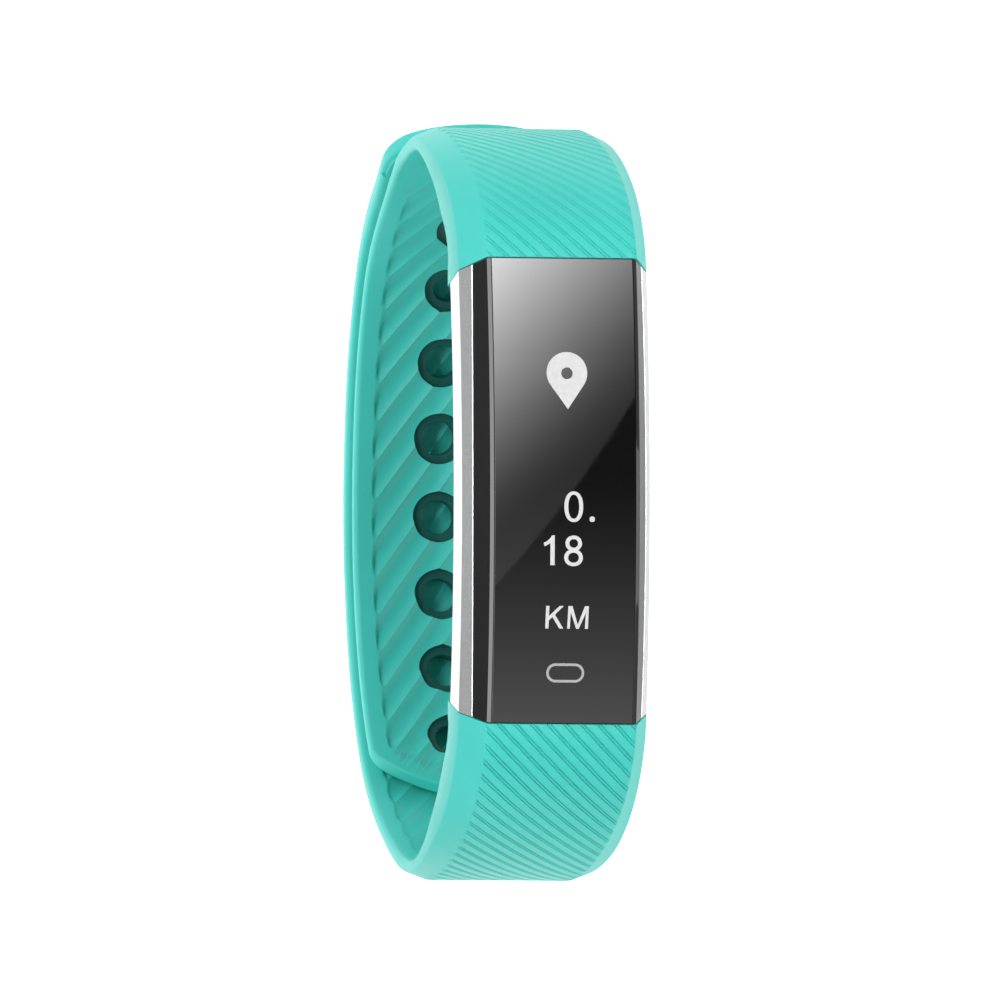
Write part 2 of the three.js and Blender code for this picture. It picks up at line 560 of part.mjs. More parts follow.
add('peg_strap_clasp_end', cut(claspEnd, plateRecess, pegHole(PEG_PITCH / 2), pegHole(-PEG_PITCH / 2)), 'strap');
add('clasp_plate', placed(plate(PLATE_HALF_X, PLATE_HALF_Y, -PLATE_T, -0.02, 1.5, 0, 0, 4), claspFrame), 'steel');
const PEG_REACH = lift + 1.0;                              // to the floor of the hole's recess
for (const [i, y] of [[1, PEG_PITCH / 2], [2, -PEG_PITCH / 2]]) {
  const profile = [[0, -PLATE_T - 0.04], [1.05, -PLATE_T - 0.04], [1.05, -lift + 0.2], [0.9, -lift - 0.2], [0.74, -PEG_REACH + 0.15], [0.56, -PEG_REACH], [0, -PEG_REACH]]
    .map(([r, z]) => new THREE.Vector2(r, z));
  let g = new THREE.LatheGeometry(profile, 20).rotateX(Math.PI / 2);
  g.deleteAttribute('normal'); g.deleteAttribute('uv');
  g = mergeVertices(g, 1e-5);
  const ix = g.getIndex().array, keep = [];
  for (let k = 0; k < ix.length; k += 3) if (ix[k] !== ix[k + 1] && ix[k + 1] !== ix[k + 2] && ix[k + 2] !== ix[k]) keep.push(ix[k], ix[k + 1], ix[k + 2]);
  g.setIndex(keep);
  add(`clasp_peg_${i}`, outward(placed(g.translate(0, y, 0), claspFrame)), 'steel');
}

// ---------------------------------------------------------------- flex lines and spin axis
// Each flex line is a hinge along X on the strap's outer face; the straps open away from the wrist.
const axisAt = (line, s) => { const { p } = line.at(s); return [0, +p.y.toFixed(4), +p.z.toFixed(4)]; };
group.userData.axes = {
  peg_strap_root_flex: axisAt(pegLine, PEG_CUTS.root),
  peg_strap_bottom_flex: axisAt(pegLine, PEG_CUTS.bottom),
  peg_strap_back_flex: axisAt(pegLine, PEG_CUTS.back),
  clasp_end_flex: axisAt(pegLine, PEG_CUTS.clasp),
  hole_strap_root_flex: axisAt(holeLine, HOLE_CUTS.root),
  motor_spin: [0, MOTOR_Y, Z(8)],
};
group.userData.holes = holeS.map((s) => { const { p, n } = holeLine.at(s); return [p.y, p.z, n.y, n.z, s]; });
group.userData.claspFrame = claspFrame.toArray();

export default group;
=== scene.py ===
import bpy, bmesh, math
import numpy as np
from mathutils import Vector, Matrix


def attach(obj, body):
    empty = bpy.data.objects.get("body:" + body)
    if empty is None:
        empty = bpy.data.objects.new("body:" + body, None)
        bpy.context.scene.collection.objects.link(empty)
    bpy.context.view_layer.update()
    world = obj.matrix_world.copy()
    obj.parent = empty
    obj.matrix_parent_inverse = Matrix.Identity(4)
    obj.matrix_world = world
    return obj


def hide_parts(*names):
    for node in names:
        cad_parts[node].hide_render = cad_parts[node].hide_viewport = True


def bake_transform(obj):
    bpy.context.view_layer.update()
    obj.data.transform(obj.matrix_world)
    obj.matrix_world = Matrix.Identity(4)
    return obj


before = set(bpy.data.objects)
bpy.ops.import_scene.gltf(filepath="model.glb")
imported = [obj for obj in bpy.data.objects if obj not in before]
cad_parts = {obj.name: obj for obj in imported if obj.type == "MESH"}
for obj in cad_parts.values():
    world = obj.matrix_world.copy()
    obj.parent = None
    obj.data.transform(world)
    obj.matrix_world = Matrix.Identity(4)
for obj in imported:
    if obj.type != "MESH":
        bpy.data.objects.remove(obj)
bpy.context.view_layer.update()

# Millimetres while building; every mesh is turned into metres when it is placed.
DEPTH = 45.3
POD_HALF_LEN, POD_SAG, END_SLOPE, END_GAP = 18.85, 1.15, 0.321, 0.03
HALF_W, WINDOW_HALF, EDGE_HALF, EDGE_DROP = 7.85, 5.9, 6.25, 0.22
CHAMFER_DEPTH, SIDE_DEPTH, LENS_MID, LENS_END = 3.05, 5.75, 1.9, 2.77
COVER_TOP, COVER_BACK = 6.15, 10.4
STRAP_GAP = 0.3
HOLE_R, RECESS_R, RECESS_DEPTH = 1.4, 2.15, 0.6
HOLE_S = [33.5, 40.1, 46.8, 53.5, 60.0, 66.6, 73.2, 79.8, 86.4]
RIB_TAN, RIB_PITCH = 1.0, 1.40
FLUTE_TAN, FLUTE_PITCH = 1.40, 3.3


# ------------------------------------------------------------------ materials
def new_material(name):
    m = bpy.data.materials.new(name)
    m.use_nodes = True
    nt = m.node_tree
    for n in list(nt.nodes):
        nt.nodes.remove(n)
    out = nt.nodes.new("ShaderNodeOutputMaterial")
    bsdf = nt.nodes.new("ShaderNodeBsdfPrincipled")
    nt.links.new(bsdf.outputs[0], out.inputs[0])
    return m, nt, bsdf


def noise(nt, scale, detail=2.0, rough=0.5, stretch=None):
    co = nt.nodes.new("ShaderNodeTexCoord")
    source = co.outputs["Object"]
    if stretch:
        mp = nt.nodes.new("ShaderNodeMapping")
        mp.inputs["Scale"].default_value = stretch
        nt.links.new(source, mp.inputs["Vector"])
        source = mp.outputs[0]
    n = nt.nodes.new("ShaderNodeTexNoise")
    n.inputs["Scale"].default_value = scale
    n.inputs["Detail"].default_value = detail
    n.inputs["Roughness"].default_value = rough
    nt.links.new(source, n.inputs["Vector"])
    return n.outputs["Fac"]


def ramp(nt, fac, low, high, p0=0.3, p1=0.7):
    r = nt.nodes.new("ShaderNodeValToRGB")
    r.color_ramp.elements[0].position, r.color_ramp.elements[1].position = p0, p1
    r.color_ramp.elements[0].color = (*low, 1)
    r.color_ramp.elements[1].color = (*high, 1)
    nt.links.new(fac, r.inputs[0])
    return r.outputs[0]


def span(nt, fac, lo, hi, f0=0.3, f1=0.7):
    m = nt.nodes.new("ShaderNodeMapRange")
    m.inputs["From Min"].default_value, m.inputs["From Max"].default_value = f0, f1
    m.inputs["To Min"].default_value, m.inputs["To Max"].default_value = lo, hi
    nt.links.new(fac, m.inputs["Value"])
    return m.outputs[0]


def bump(nt, bsdf, fac, strength, distance):
    b = nt.nodes.new("ShaderNodeBump")
    b.inputs["Strength"].default_value = strength
    b.inputs["Distance"].default_value = distance
    nt.links.new(fac, b.inputs["Height"])
    nt.links.new(b.outputs[0], bsdf.inputs["Normal"])


def material(name, low, high, rough, metal=0.0, colour_scale=150, grain=9000, bump_size=1e-5,
             bump_strength=0.3, coat=0.0, ior=1.5, stretch=None, sheen=0.0, sss=0.0, sss_radius=(1, 1, 1), detail=2.0,
             specular=0.5):
    m, nt, p = new_material(name)
    p.inputs["Metallic"].default_value = metal
    p.inputs["IOR"].default_value = ior
    p.inputs["Specular IOR Level"].default_value = specular
    if coat:
        p.inputs["Coat Weight"].default_value = coat
        p.inputs["Coat Roughness"].default_value = 0.04
    if sheen:
        p.inputs["Sheen Weight"].default_value = sheen
        p.inputs["Sheen Roughness"].default_value = 0.4
    if sss:
        p.inputs["Subsurface Weight"].default_value = sss
        p.inputs["Subsurface Radius"].default_value = sss_radius
        p.inputs["Subsurface Scale"].default_value = 0.0008
    nt.links.new(ramp(nt, noise(nt, colour_scale, 3.0), low, high), p.inputs["Base Color"])
    fine = noise(nt, grain, detail, 0.55, stretch)
    nt.links.new(span(nt, fine, rough[0], rough[1]), p.inputs["Roughness"])
    bump(nt, p, fine, bump_strength, bump_size)
    return m


MAT = {
    "strap": material("strap_tpu", (0.058, 0.610, 0.540), (0.070, 0.660, 0.590), (0.38, 0.50), grain=14000, specular=0.38,
                      colour_scale=90, bump_size=6e-6, bump_strength=0.22),
    # painted shade: a dark teal for the eyelets' recesses and bores, standing in for the shadow that falls in them
    "strap_painted_shade": material("strap_tpu_painted_recess_shade", (0.008, 0.095, 0.082), (0.011, 0.115, 0.100), (0.45, 0.60), grain=14000,
                           specular=0.25, colour_scale=90, bump_size=6e-6, bump_strength=0.22),
    "silver": material("silver_satin", (0.62, 0.625, 0.635), (0.67, 0.675, 0.685), (0.22, 0.30), 1.0, grain=16000,
                       bump_size=4e-6, bump_strength=0.12),
    "lens": material("lens_black", (0.0012, 0.0012, 0.0014), (0.0018, 0.0018, 0.0020), (0.004, 0.018), 0.0, grain=900,
                     bump_size=2e-8, bump_strength=0.05, ior=1.45),
    "dark": material("dark_plastic", (0.012, 0.0125, 0.014), (0.020, 0.0205, 0.022), (0.42, 0.56), grain=12000,
                     bump_size=1.2e-5, bump_strength=0.35),
    "rubber": material("gasket_rubber", (0.010, 0.010, 0.012), (0.016, 0.016, 0.018), (0.7, 0.85), grain=15000,
                       bump_size=1.5e-5, bump_strength=0.4),
    "board": material("board_mask", (0.010, 0.090, 0.040), (0.016, 0.125, 0.055), (0.30, 0.42), grain=5000,
                      bump_size=1e-5, bump_strength=0.3, coat=0.3),
    "chip": material("chip_mould", (0.012, 0.012, 0.013), (0.020, 0.020, 0.021), (0.45, 0.62), grain=22000,
                     bump_size=8e-6, bump_strength=0.4),
    "gold": material("contact_gold", (0.75, 0.50, 0.16), (0.86, 0.60, 0.22), (0.18, 0.30), 1.0, grain=9000,
                     bump_size=3e-6, bump_strength=0.15, stretch=(1, 6, 1)),
    "steel": material("steel_brushed", (0.52, 0.53, 0.55), (0.62, 0.63, 0.65), (0.18, 0.32), 1.0, grain=9000,
                      bump_size=4e-6, bump_strength=0.25, stretch=(1, 9, 9)),
    "amber": material("flex_film", (0.42, 0.17, 0.03), (0.52, 0.23, 0.045), (0.25, 0.4), grain=3000,
                      bump_size=4e-6, bump_strength=0.2, coat=0.4),
    "foil": material("cell_foil", (0.46, 0.47, 0.49), (0.58, 0.59, 0.61), (0.28, 0.42), 0.9, grain=1800,
                     bump_size=2.5e-5, bump_strength=0.4),
    "tape": material("adhesive_tape", (0.55, 0.53, 0.48), (0.66, 0.64, 0.59), (0.6, 0.75), grain=4000,
                     bump_size=2e-5, bump_strength=0.4),
    "ceramic": material("ceramic", (0.62, 0.59, 0.52), (0.70, 0.67, 0.60), (0.42, 0.55), grain=9000,
                        bump_size=6e-6, bump_strength=0.3),
    "glass": material("display_glass", (0.004, 0.005, 0.008), (0.006, 0.007, 0.011), (0.06, 0.10), grain=800,
                      bump_size=1e-6, bump_strength=0.05, coat=0.5),
    "weight": material("weight_metal", (0.26, 0.25, 0.24), (0.34, 0.33, 0.32), (0.32, 0.48), 1.0, grain=7000,
                       bump_size=1.2e-5, bump_strength=0.35),
}

# display graphics: lit marks under the window
glow, nt, p = new_material("display_marks")
nt.links.new(ramp(nt, noise(nt, 2500, 2.0), (0.26, 0.26, 0.26), (0.32, 0.32, 0.32)), p.inputs["Base Color"])
nt.links.new(span(nt, noise(nt, 6000, 2.0), 0.45, 0.6), p.inputs["Roughness"])
nt.links.new(ramp(nt, noise(nt, 3000, 2.0), (0.80, 0.81, 0.82), (0.90, 0.90, 0.91)), p.inputs["Emission Color"])
p.inputs["Emission Strength"].default_value = 0.50
MAT["glow"] = glow
dim, nt, p = new_material("key_mark")
nt.links.new(ramp(nt, noise(nt, 2500, 2.0), (0.16, 0.16, 0.16), (0.20, 0.20, 0.20)), p.inputs["Base Color"])
nt.links.new(span(nt, noise(nt, 6000, 2.0), 0.45, 0.6), p.inputs["Roughness"])
nt.links.new(ramp(nt, noise(nt, 3000, 2.0), (0.80, 0.81, 0.82), (0.90, 0.90, 0.91)), p.inputs["Emission Color"])
p.inputs["Emission Strength"].default_value = 0.30
MAT["glow_dim"] = dim

CAD_LOOK = {
    "lens_adhesive": "tape", "seal_gasket": "rubber", "display_panel": "glass", "display_flex": "amber",
    "display_holder": "dark", "touch_pad": "gold", "touch_spacer": "rubber", "main_board": "board",
    "bluetooth_chip": "chip", "flash_chip": "chip", "motion_sensor": "chip", "power_chip": "chip",
    "crystal": "steel", "chip_antenna": "ceramic", "battery": "foil", "battery_tape": "tape",
    "battery_guard_board": "board", "motor_can": "steel", "motor_plate": "dark", "motor_shaft": "steel",
    "motor_rotor": "weight", "usb_tongue": "dark", "usb_contact_1": "gold", "usb_contact_2": "gold",
    "usb_contact_3": "gold", "usb_contact_4": "gold", "strap_lug": "dark",
}
for name, look in CAD_LOOK.items():
    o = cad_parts[name]
    if not o.material_slots:
        o.data.materials.append(MAT[look])
    for sl in o.material_slots:
        sl.material = MAT[look]


# ------------------------------------------------------------------ mesh helpers
def mesh_object(name, verts, faces):
    me = bpy.data.meshes.new(name)
    me.from_pydata([tuple(map(float, v)) for v in verts], [], [tuple(map(int, f)) for f in faces])
    me.validate()
    o = bpy.data.objects.new(name, me)
    bpy.context.collection.objects.link(o)
    return o


def volume_sign(verts, faces):
    v = np.asarray(verts, float)
    total = 0.0
    for f in faces:
        for i in range(1, len(f) - 1):
            total += np.dot(v[f[0]], np.cross(v[f[i]], v[f[i + 1]]))
    return total


def closed(name, verts, faces):
    if volume_sign(verts, faces) < 0:
        faces = [tuple(reversed(f)) for f in faces]
    return mesh_object(name, verts, faces)


def apply_modifiers(o):
    dg = bpy.context.evaluated_depsgraph_get()
    me = bpy.data.meshes.new_from_object(o.evaluated_get(dg), depsgraph=dg)
    old = o.data
    o.modifiers.clear()
    o.data = me
    bpy.data.meshes.remove(old)
    return o


def boolean(o, tools, op="DIFFERENCE", keep=False):
    for t in tools if isinstance(tools, (list, tuple)) else [tools]:
        m = o.modifiers.new("cut", "BOOLEAN")
        m.operation, m.object, m.solver = op, t, "MANIFOLD"
        apply_modifiers(o)
        if not len(o.data.polygons):
            raise RuntimeError("empty result cutting " + o.name + " with " + t.name)
    if not keep:
        for t in tools if isinstance(tools, (list, tuple)) else [tools]:
            bpy.data.objects.remove(t, do_unlink=True)
    return o


def duplicate(o, name):
    c = bpy.data.objects.new(name, o.data.copy())
    bpy.context.collection.objects.link(c)
    return c


def loft(name, rings):
    n = len(rings[0])
    verts = [p for r in rings for p in r]
    faces = []
    for i in range(len(rings) - 1):
        for j in range(n):
            k = (j + 1) % n
            faces.append((i * n + j, i * n + k, (i + 1) * n + k, (i + 1) * n + j))
    faces.append(tuple(range(n - 1, -1, -1)))
    faces.append(tuple((len(rings) - 1) * n + j for j in range(n)))
    return closed(name, verts, faces)


def box_mesh(name, x0, x1, y0, y1, z0, z1, matrix=None):
    v = [(x, y, z) for z in (z0, z1) for y in (y0, y1) for x in (x0, x1)]
    if matrix is not None:
        v = [tuple(matrix @ Vector(q)) for q in v]
    f = [(0, 1, 3, 2), (4, 6, 7, 5), (0, 4, 5, 1), (2, 3, 7, 6), (0, 2, 6, 4), (1, 5, 7, 3)]
    return closed(name, v, f)


def revolve(name, profile, seg=48, matrix=None):
    # profile: [radius, height] from the lower end on the axis to the upper end on the axis
    verts, faces, rings = [], [], []
    for r, h in profile:
        if r < 1e-9:
            rings.append([len(verts)])
            verts.append((0, 0, h))
        else:
            rings.append(list(range(len(verts), len(verts) + seg)))
            verts += [(r * math.cos(2 * math.pi * i / seg), r * math.sin(2 * math.pi * i / seg), h) for i in range(seg)]
    for a, b in zip(rings, rings[1:]):
        for i in range(seg):
            j = (i + 1) % seg
            if len(a) == 1:
                faces.append((a[0], b[i], b[j]))
            elif len(b) == 1:
                faces.append((a[i], b[0], a[j]))
            else:
                faces.append((a[i], b[i], b[j], a[j]))
    if matrix is not None:
        verts = [tuple(matrix @ Vector(q)) for q in verts]
    return closed(name, verts, faces)


def plate_mesh(name, hx, hy, z0, z1, r, matrix, steps=10, edge=0.0, edge_steps=3):
    # rounded plate; edge rounds the upper rim
    def outline(inset):
        pts = []
        rr = max(r - inset, 0.02)
        for cx, cy, a0 in ((hx - r, -hy + r, -90), (hx - r, hy - r, 0), (-hx + r, hy - r, 90), (-hx + r, -hy + r, 180)):
            for i in range(steps + 1):
                a = math.radians(a0 + 90 * i / steps)
                pts.append((cx + rr * math.cos(a), cy + rr * math.sin(a)))
        return pts
    levels = [(0.0, z0)]
    if edge:
        for i in range(edge_steps + 1):
            a = math.pi / 2 * i / edge_steps
            levels.append((edge * (1 - math.cos(a)), z1 - edge + edge * math.sin(a)))
    else:
        levels.append((0.0, z1))
    rings = [[tuple(matrix @ Vector((x, y, z))) for x, y in outline(i)] for i, z in levels]
    return loft(name, rings)


def finish_mesh(o, look, angle=30.0, bevel=None, weighted=False):
    """Metres, smooth shading with sharp edges above the angle, and the material in one slot."""
    if bevel:
        m = o.modifiers.new("edge", "BEVEL")
        m.width, m.segments, m.limit_method, m.angle_limit = bevel, 2, "ANGLE", math.radians(angle)
        m.harden_normals = False
        apply_modifiers(o)
    if weighted:
        o.data.shade_smooth()
        o.data.set_sharp_from_angle(angle=math.radians(angle))
        m = o.modifiers.new("normals", "WEIGHTED_NORMAL")
        m.mode, m.weight, m.keep_sharp = "FACE_AREA", 100, True
        apply_modifiers(o)
    o.data.transform(Matrix.Scale(0.001, 4))
    me = o.data
    if not weighted:
        me.shade_smooth()
        me.set_sharp_from_angle(angle=math.radians(angle))
    me.materials.clear()
    me.materials.append(MAT[look])
    me.polygons.foreach_set("material_index", [0] * len(me.polygons))
    return o


# ------------------------------------------------------------------ pod shapes
def Z(d):
    return DEPTH - d


def pod_end(d):
    return POD_HALF_LEN - (d - POD_SAG) * END_SLOPE - END_GAP


def sag(t):
    return POD_SAG * t * t


def chamfer_x(d, t):
    return EDGE_HALF + (HALF_W - EDGE_HALF) * (d - sag(t) - EDGE_DROP) / (CHAMFER_DEPTH - EDGE_DROP)


def lens_edge(t):
    return LENS_MID + (LENS_END - LENS_MID) * t * t


def both(half):
    return list(half) + [(-x, d) for x, d in reversed(half)]


def pod_loft(name, section, steps=72, reach=1.0):
    ts = [reach * (-1 + 2 * i / steps) for i in range(steps + 1)]
    return loft(name, [[(x, t * pod_end(d), Z(d)) for x, d in section(t)] for t in ts])


END_DIR = Vector((0, -END_SLOPE, -1)).normalized()
END_POINT = Vector((0, POD_HALF_LEN, Z(POD_SAG))) + END_DIR * 4.6


def plug_matrix(side):
    m = Matrix.Translation((0, END_POINT.y, END_POINT.z)) @ Matrix.Rotation(math.radians(-22), 4, "X")
    return m if side > 0 else Matrix.Rotation(math.pi, 4, "Z") @ m


TONGUE, LUG = plug_matrix(1), plug_matrix(-1)
TW, TT, TO, LW, LT, LO = 12.0, 1.9, 8.4, 10.0, 2.0, 5.6


def slots():
    return [box_mesh("t1", -TW / 2 - 0.3, TW / 2 + 0.3, -8, 2.5, -TT / 2 - 0.3, TT / 2 + 0.3, TONGUE),
            box_mesh("t2", -LW / 2 - 0.3, LW / 2 + 0.3, -8, 2.5, -LT / 2 - 0.3, LT / 2 + 0.3, LUG)]


def make_pod():
    lens = pod_loft("front_window", lambda t: both([
        (WINDOW_HALF, sag(t)), (EDGE_HALF, sag(t) + EDGE_DROP),
        (chamfer_x(lens_edge(t), t), lens_edge(t))]))
    boolean(lens, [box_mesh("t", -5.3, 5.3, -15.9, 14.9, Z(6), Z(1.35))])
    finish_mesh(lens, "lens", 20, bevel=0.05, weighted=True)
    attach(lens, "pod")
    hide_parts("front_lens")

    top = lambda t: lens_edge(t) + 0.08
    house = pod_loft("mid_frame", lambda t: both([
        (chamfer_x(top(t), t), top(t)), (HALF_W, sag(t) + CHAMFER_DEPTH), (HALF_W, sag(t) + SIDE_DEPTH)]))
    seat = pod_loft("t", lambda t: both([(6.75, lens_edge(t) - 2), (6.75, lens_edge(t) + 0.38)]), reach=0.95)
    boolean(house, [seat, box_mesh("t0", -6.2, 6.2, -15.1, 15.1, Z(12), Z(0))] + slots())
    finish_mesh(house, "silver", 20, bevel=0.06, weighted=True)
    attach(house, "pod")
    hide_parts("housing")

    def belly(t):
        pts = [(7.7, sag(t) + COVER_TOP)]
        b0, b1 = sag(t) + COVER_TOP, COVER_BACK
        for i in range(1, 13):
            a = math.pi / 2 * i / 12
            pts.append((5.3 + 2.1 * math.cos(a) ** 0.8, b0 + 0.9 + (b1 - b0 - 0.9) * math.sin(a) ** 1.25))
        return both(pts)
    cover = pod_loft("belly_cover", belly)
    boolean(cover, [box_mesh("t0", -6.2, 6.2, -15.1, 15.1, Z(9.7), Z(0))] + slots())
    # a shallow step round the middle of the belly
    step = plate_mesh("t3", 5.0, 12.4, Z(COVER_BACK) - 1, Z(COVER_BACK) + 0.12, 4.9, Matrix.Identity(4), steps=14)
    ring = plate_mesh("t4", 4.7, 12.1, Z(COVER_BACK) - 2, Z(COVER_BACK) + 0.5, 4.6, Matrix.Identity(4), steps=14)
    boolean(step, [ring])
    boolean(cover, [step])
    finish_mesh(cover, "dark", 30, bevel=0.04, weighted=True)
    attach(cover, "pod")
    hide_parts("back_cover")


# ------------------------------------------------------------------ strap lines
PEG_LINE = [
    (1.15, -18.85), (1.6, -20.45), (2.45, -22.1), (3.6, -23.7), (5.3, -25.35), (8.2, -27.3), (11.2, -28.7),
    (14.6, -29.85), (18.4, -30.65), (22.0, -30.9), (25.6, -30.4), (29.2, -29.1), (32.8, -27.2), (35.6, -25.3),
    (37.6, -23.5), (39.2, -21.6), (41.0, -18.7), (42.6, -15.3), (43.8, -11.7), (44.7, -7.6), (45.3, -2.6),
    (45.3, 2.6), (44.75, 7.8), (43.85, 12.3), (42.4, 16.6), (40.9, 19.8), (39.1, 22.6), (36.9, 24.95),
    (34.2, 27.05), (31.5, 29.15), (29.6, 30.15), (27.4, 31.1)]
HOLE_LINE = [
    (1.15, 18.85), (1.65, 20.5), (2.75, 22.55), (4.35, 24.45), (6.4, 26.05), (9.4, 27.65), (12.5, 28.86),
    (15.6, 29.71), (19.0, 30.19), (22.5, 29.98)]


def centripetal(points, per=240):
    pts = [np.array((y, Z(d)), float) for d, y in points]
    ext = [2 * pts[0] - pts[1]] + pts + [2 * pts[-1] - pts[-2]]
    out = []
    for i in range(len(pts) - 1):
        p0, p1, p2, p3 = ext[i], ext[i + 1], ext[i + 2], ext[i + 3]
        d0, d1, d2 = [max(np.dot(b - a, b - a), 1e-12) ** 0.25 for a, b in ((p0, p1), (p1, p2), (p2, p3))]
        t1 = ((p1 - p0) / d0 - (p2 - p0) / (d0 + d1) + (p2 - p1) / d1) * d1
        t2 = ((p2 - p1) / d1 - (p3 - p1) / (d1 + d2) + (p3 - p2) / d2) * d1
        c2, c3 = -3 * p1 + 3 * p2 - 2 * t1 - t2, 2 * p1 - 2 * p2 + t1 + t2
        w = np.linspace(0, 1, per, endpoint=False)[:, None]
        out.append(p1 + t1 * w + c2 * w ** 2 + c3 * w ** 3)
    out.append(pts[-1][None, :])
    return np.concatenate(out)


class Line:
    def __init__(self, points):
        q = centripetal(points)
        s = np.concatenate([[0], np.cumsum(np.linalg.norm(np.diff(q, axis=0), axis=1))])
        self.length = float(s[-1])
        self.s = np.arange(0, self.length + 0.01, 0.05)
        self.p = np.stack([np.interp(self.s, s, q[:, 0]), np.interp(self.s, s, q[:, 1])], 1)
        t = np.gradient(self.p, axis=0)
        t /= np.linalg.norm(t, axis=1)[:, None]
        n = np.stack([t[:, 1], -t[:, 0]], 1)
        mid = np.array([0, DEPTH / 2])
        flip = ((mid - self.p) * n).sum(1) < 0
        n[flip] *= -1
        self.t, self.n_true = t, n
        # smooth the directions a little, so that small changes of curvature don't show in the surface
        k = np.exp(-0.5 * (np.arange(-30, 31) * 0.05 / 0.6) ** 2)
        k /= k.sum()
        pad = np.pad(n, ((30, 30), (0, 0)), mode="edge")
        sm = np.stack([np.convolve(pad[:, i], k, "valid") for i in range(2)], 1)
        sm /= np.linalg.norm(sm, axis=1)[:, None]
        end = np.array([-END_SLOPE if self.p[0, 0] > 0 else END_SLOPE, -1.0])
        end /= np.linalg.norm(end)
        w = np.clip(self.s / 3.0, 0, 1)
        w = (w * w * (3 - 2 * w))[:, None]
        d = end * (1 - w) + sm * w
        self.n = d / np.linalg.norm(d, axis=1)[:, None]

    def at(self, s):
        s = np.clip(np.asarray(s, float), 0, self.s[-1])
        p = np.stack([np.interp(s, self.s, self.p[:, i]) for i in range(2)], -1)
        n = np.stack([np.interp(s, self.s, self.n[:, i]) for i in range(2)], -1)
        return p, n / np.linalg.norm(n, axis=-1, keepdims=True)

    def near(self, d, y):
        return float(self.s[np.argmin(((self.p - np.array([y, Z(d)])) ** 2).sum(1))])

    def bend(self, xyz):
        """(x, s, n) to (X, Y, Z) in millimetres."""
        v = np.asarray(xyz, float)
        p, n = self.at(v[:, 1])
        over = np.clip(v[:, 1] - self.s[-1], 0, None)[:, None] * self.t[-1] + np.clip(v[:, 1], None, 0)[:, None] * self.t[0]
        q = p + n * v[:, 2:3] + over
        return np.stack([v[:, 0], q[:, 0], q[:, 1]], 1)


def smooth_table(rows, length, sigma=1.1):
    s = np.arange(-12, length + 12, 0.05)
    v = np.interp(s, [r[0] for r in rows], [r[1] for r in rows])
    k = np.exp(-0.5 * (np.arange(-100, 101) * 0.05 / sigma) ** 2)
    k /= k.sum()
    pad = np.pad(v, 100, mode="edge")
    sm = np.convolve(pad, k, "valid")
    # keep the exact value where the strap meets the pod
    w = np.clip(s / 3.0, 0, 1)
    w = w * w * (3 - 2 * w)
    sm = v * (1 - w) + sm * w
    return lambda q: np.interp(q, s, sm)


peg = Line(PEG_LINE)
PEG_T_ROWS = [(0, 7.2), (2.5, 6.5), (5, 6.0), (8, 5.7), (11, 5.0), (14, 4.0), (18, 2.8), (23, 2.0), (27, 1.85),
              (90, 1.85), (95, 2.1), (104, 2.1), (peg.length, 1.6)]
HOLE_T_ROWS = [(0, 7.2), (2.5, 6.5), (5, 6.0), (8, 5.45), (11, 4.9), (14, 3.7), (18, 2.7), (23, 1.85), (27, 1.65), (200, 1.6)]


def exact(rows):
    return lambda q: np.interp(q, [r[0] for r in rows], [r[1] for r in rows])


peg_exact = exact(PEG_T_ROWS)
peg_tip = peg.near(36.0, -25.0)
extra, s = [], peg.length - 1.0
while s > peg_tip - 0.01:
    i = int(round(s / 0.05))
    q = peg.p[min(i, len(peg.p) - 1)] + peg.n_true[min(i, len(peg.p) - 1)] * (float(peg_exact(s)) + STRAP_GAP + 0.02)
    extra.append((DEPTH - q[1], q[0]))
    s -= 3.2
hole = Line(HOLE_LINE + extra)
peg_thick = smooth_table(PEG_T_ROWS, peg.length)
hole_thick = smooth_table(HOLE_T_ROWS, hole.length)
chamfer_depth = smooth_table([(0, 3.05), (2, 2.9), (4, 2.7), (6.5, 2.42), (8.5, 2.08), (10.5, 1.77), (13, 1.44), (16, 1.15), (19, .92),
                              (24, .65), (30, .5), (200, .45)], 140)
flat_half = smooth_table([(0, 6.25), (8, 6.15), (20, 5.8), (28, 5.85), (200, 5.9)], 140)
full_width = smooth_table([(0, 7.85), (17, 7.85), (22, 7.65), (28, 7.35), (34, 7.3), (200, 7.3)], 140)


# ------------------------------------------------------------------ strap skins
def tip_outline(length, rnd, slope, steps=44):
    """Half outline of the tip from the side to the end, as (x, s): a rounded corner, then a slanted end."""
    w = 7.3
    pts = []
    for i in range(steps + 1):
        a = math.pi / 2 * i / steps
        x = w * math.cos(a)
        pts.append((x, length - rnd * (1 - math.sin(a) ** (2 / 2.6)) - slope * (math.hypot(x, 1.5) - 1.5)))
    return pts


def inset_outline(half, by):
    """The tip outline moved inwards, with its ends kept on the side line and on the middle."""
    q = np.array(half)
    t = np.gradient(q, axis=0)
    t /= np.linalg.norm(t, axis=1)[:, None]
    n = np.stack([-t[:, 1], t[:, 0]], 1)
    n[(n * q).sum(1) > 1e9] *= -1
    if n[0, 0] > 0:
        n = -n
    n[0] = (-1, 0)
    n[-1] = (0, -1)
    r = q + n * by
    r[-1, 0] = 0.0
    r[:, 0] = np.maximum(r[:, 0], 0.0)
    return [tuple(v) for v in r]


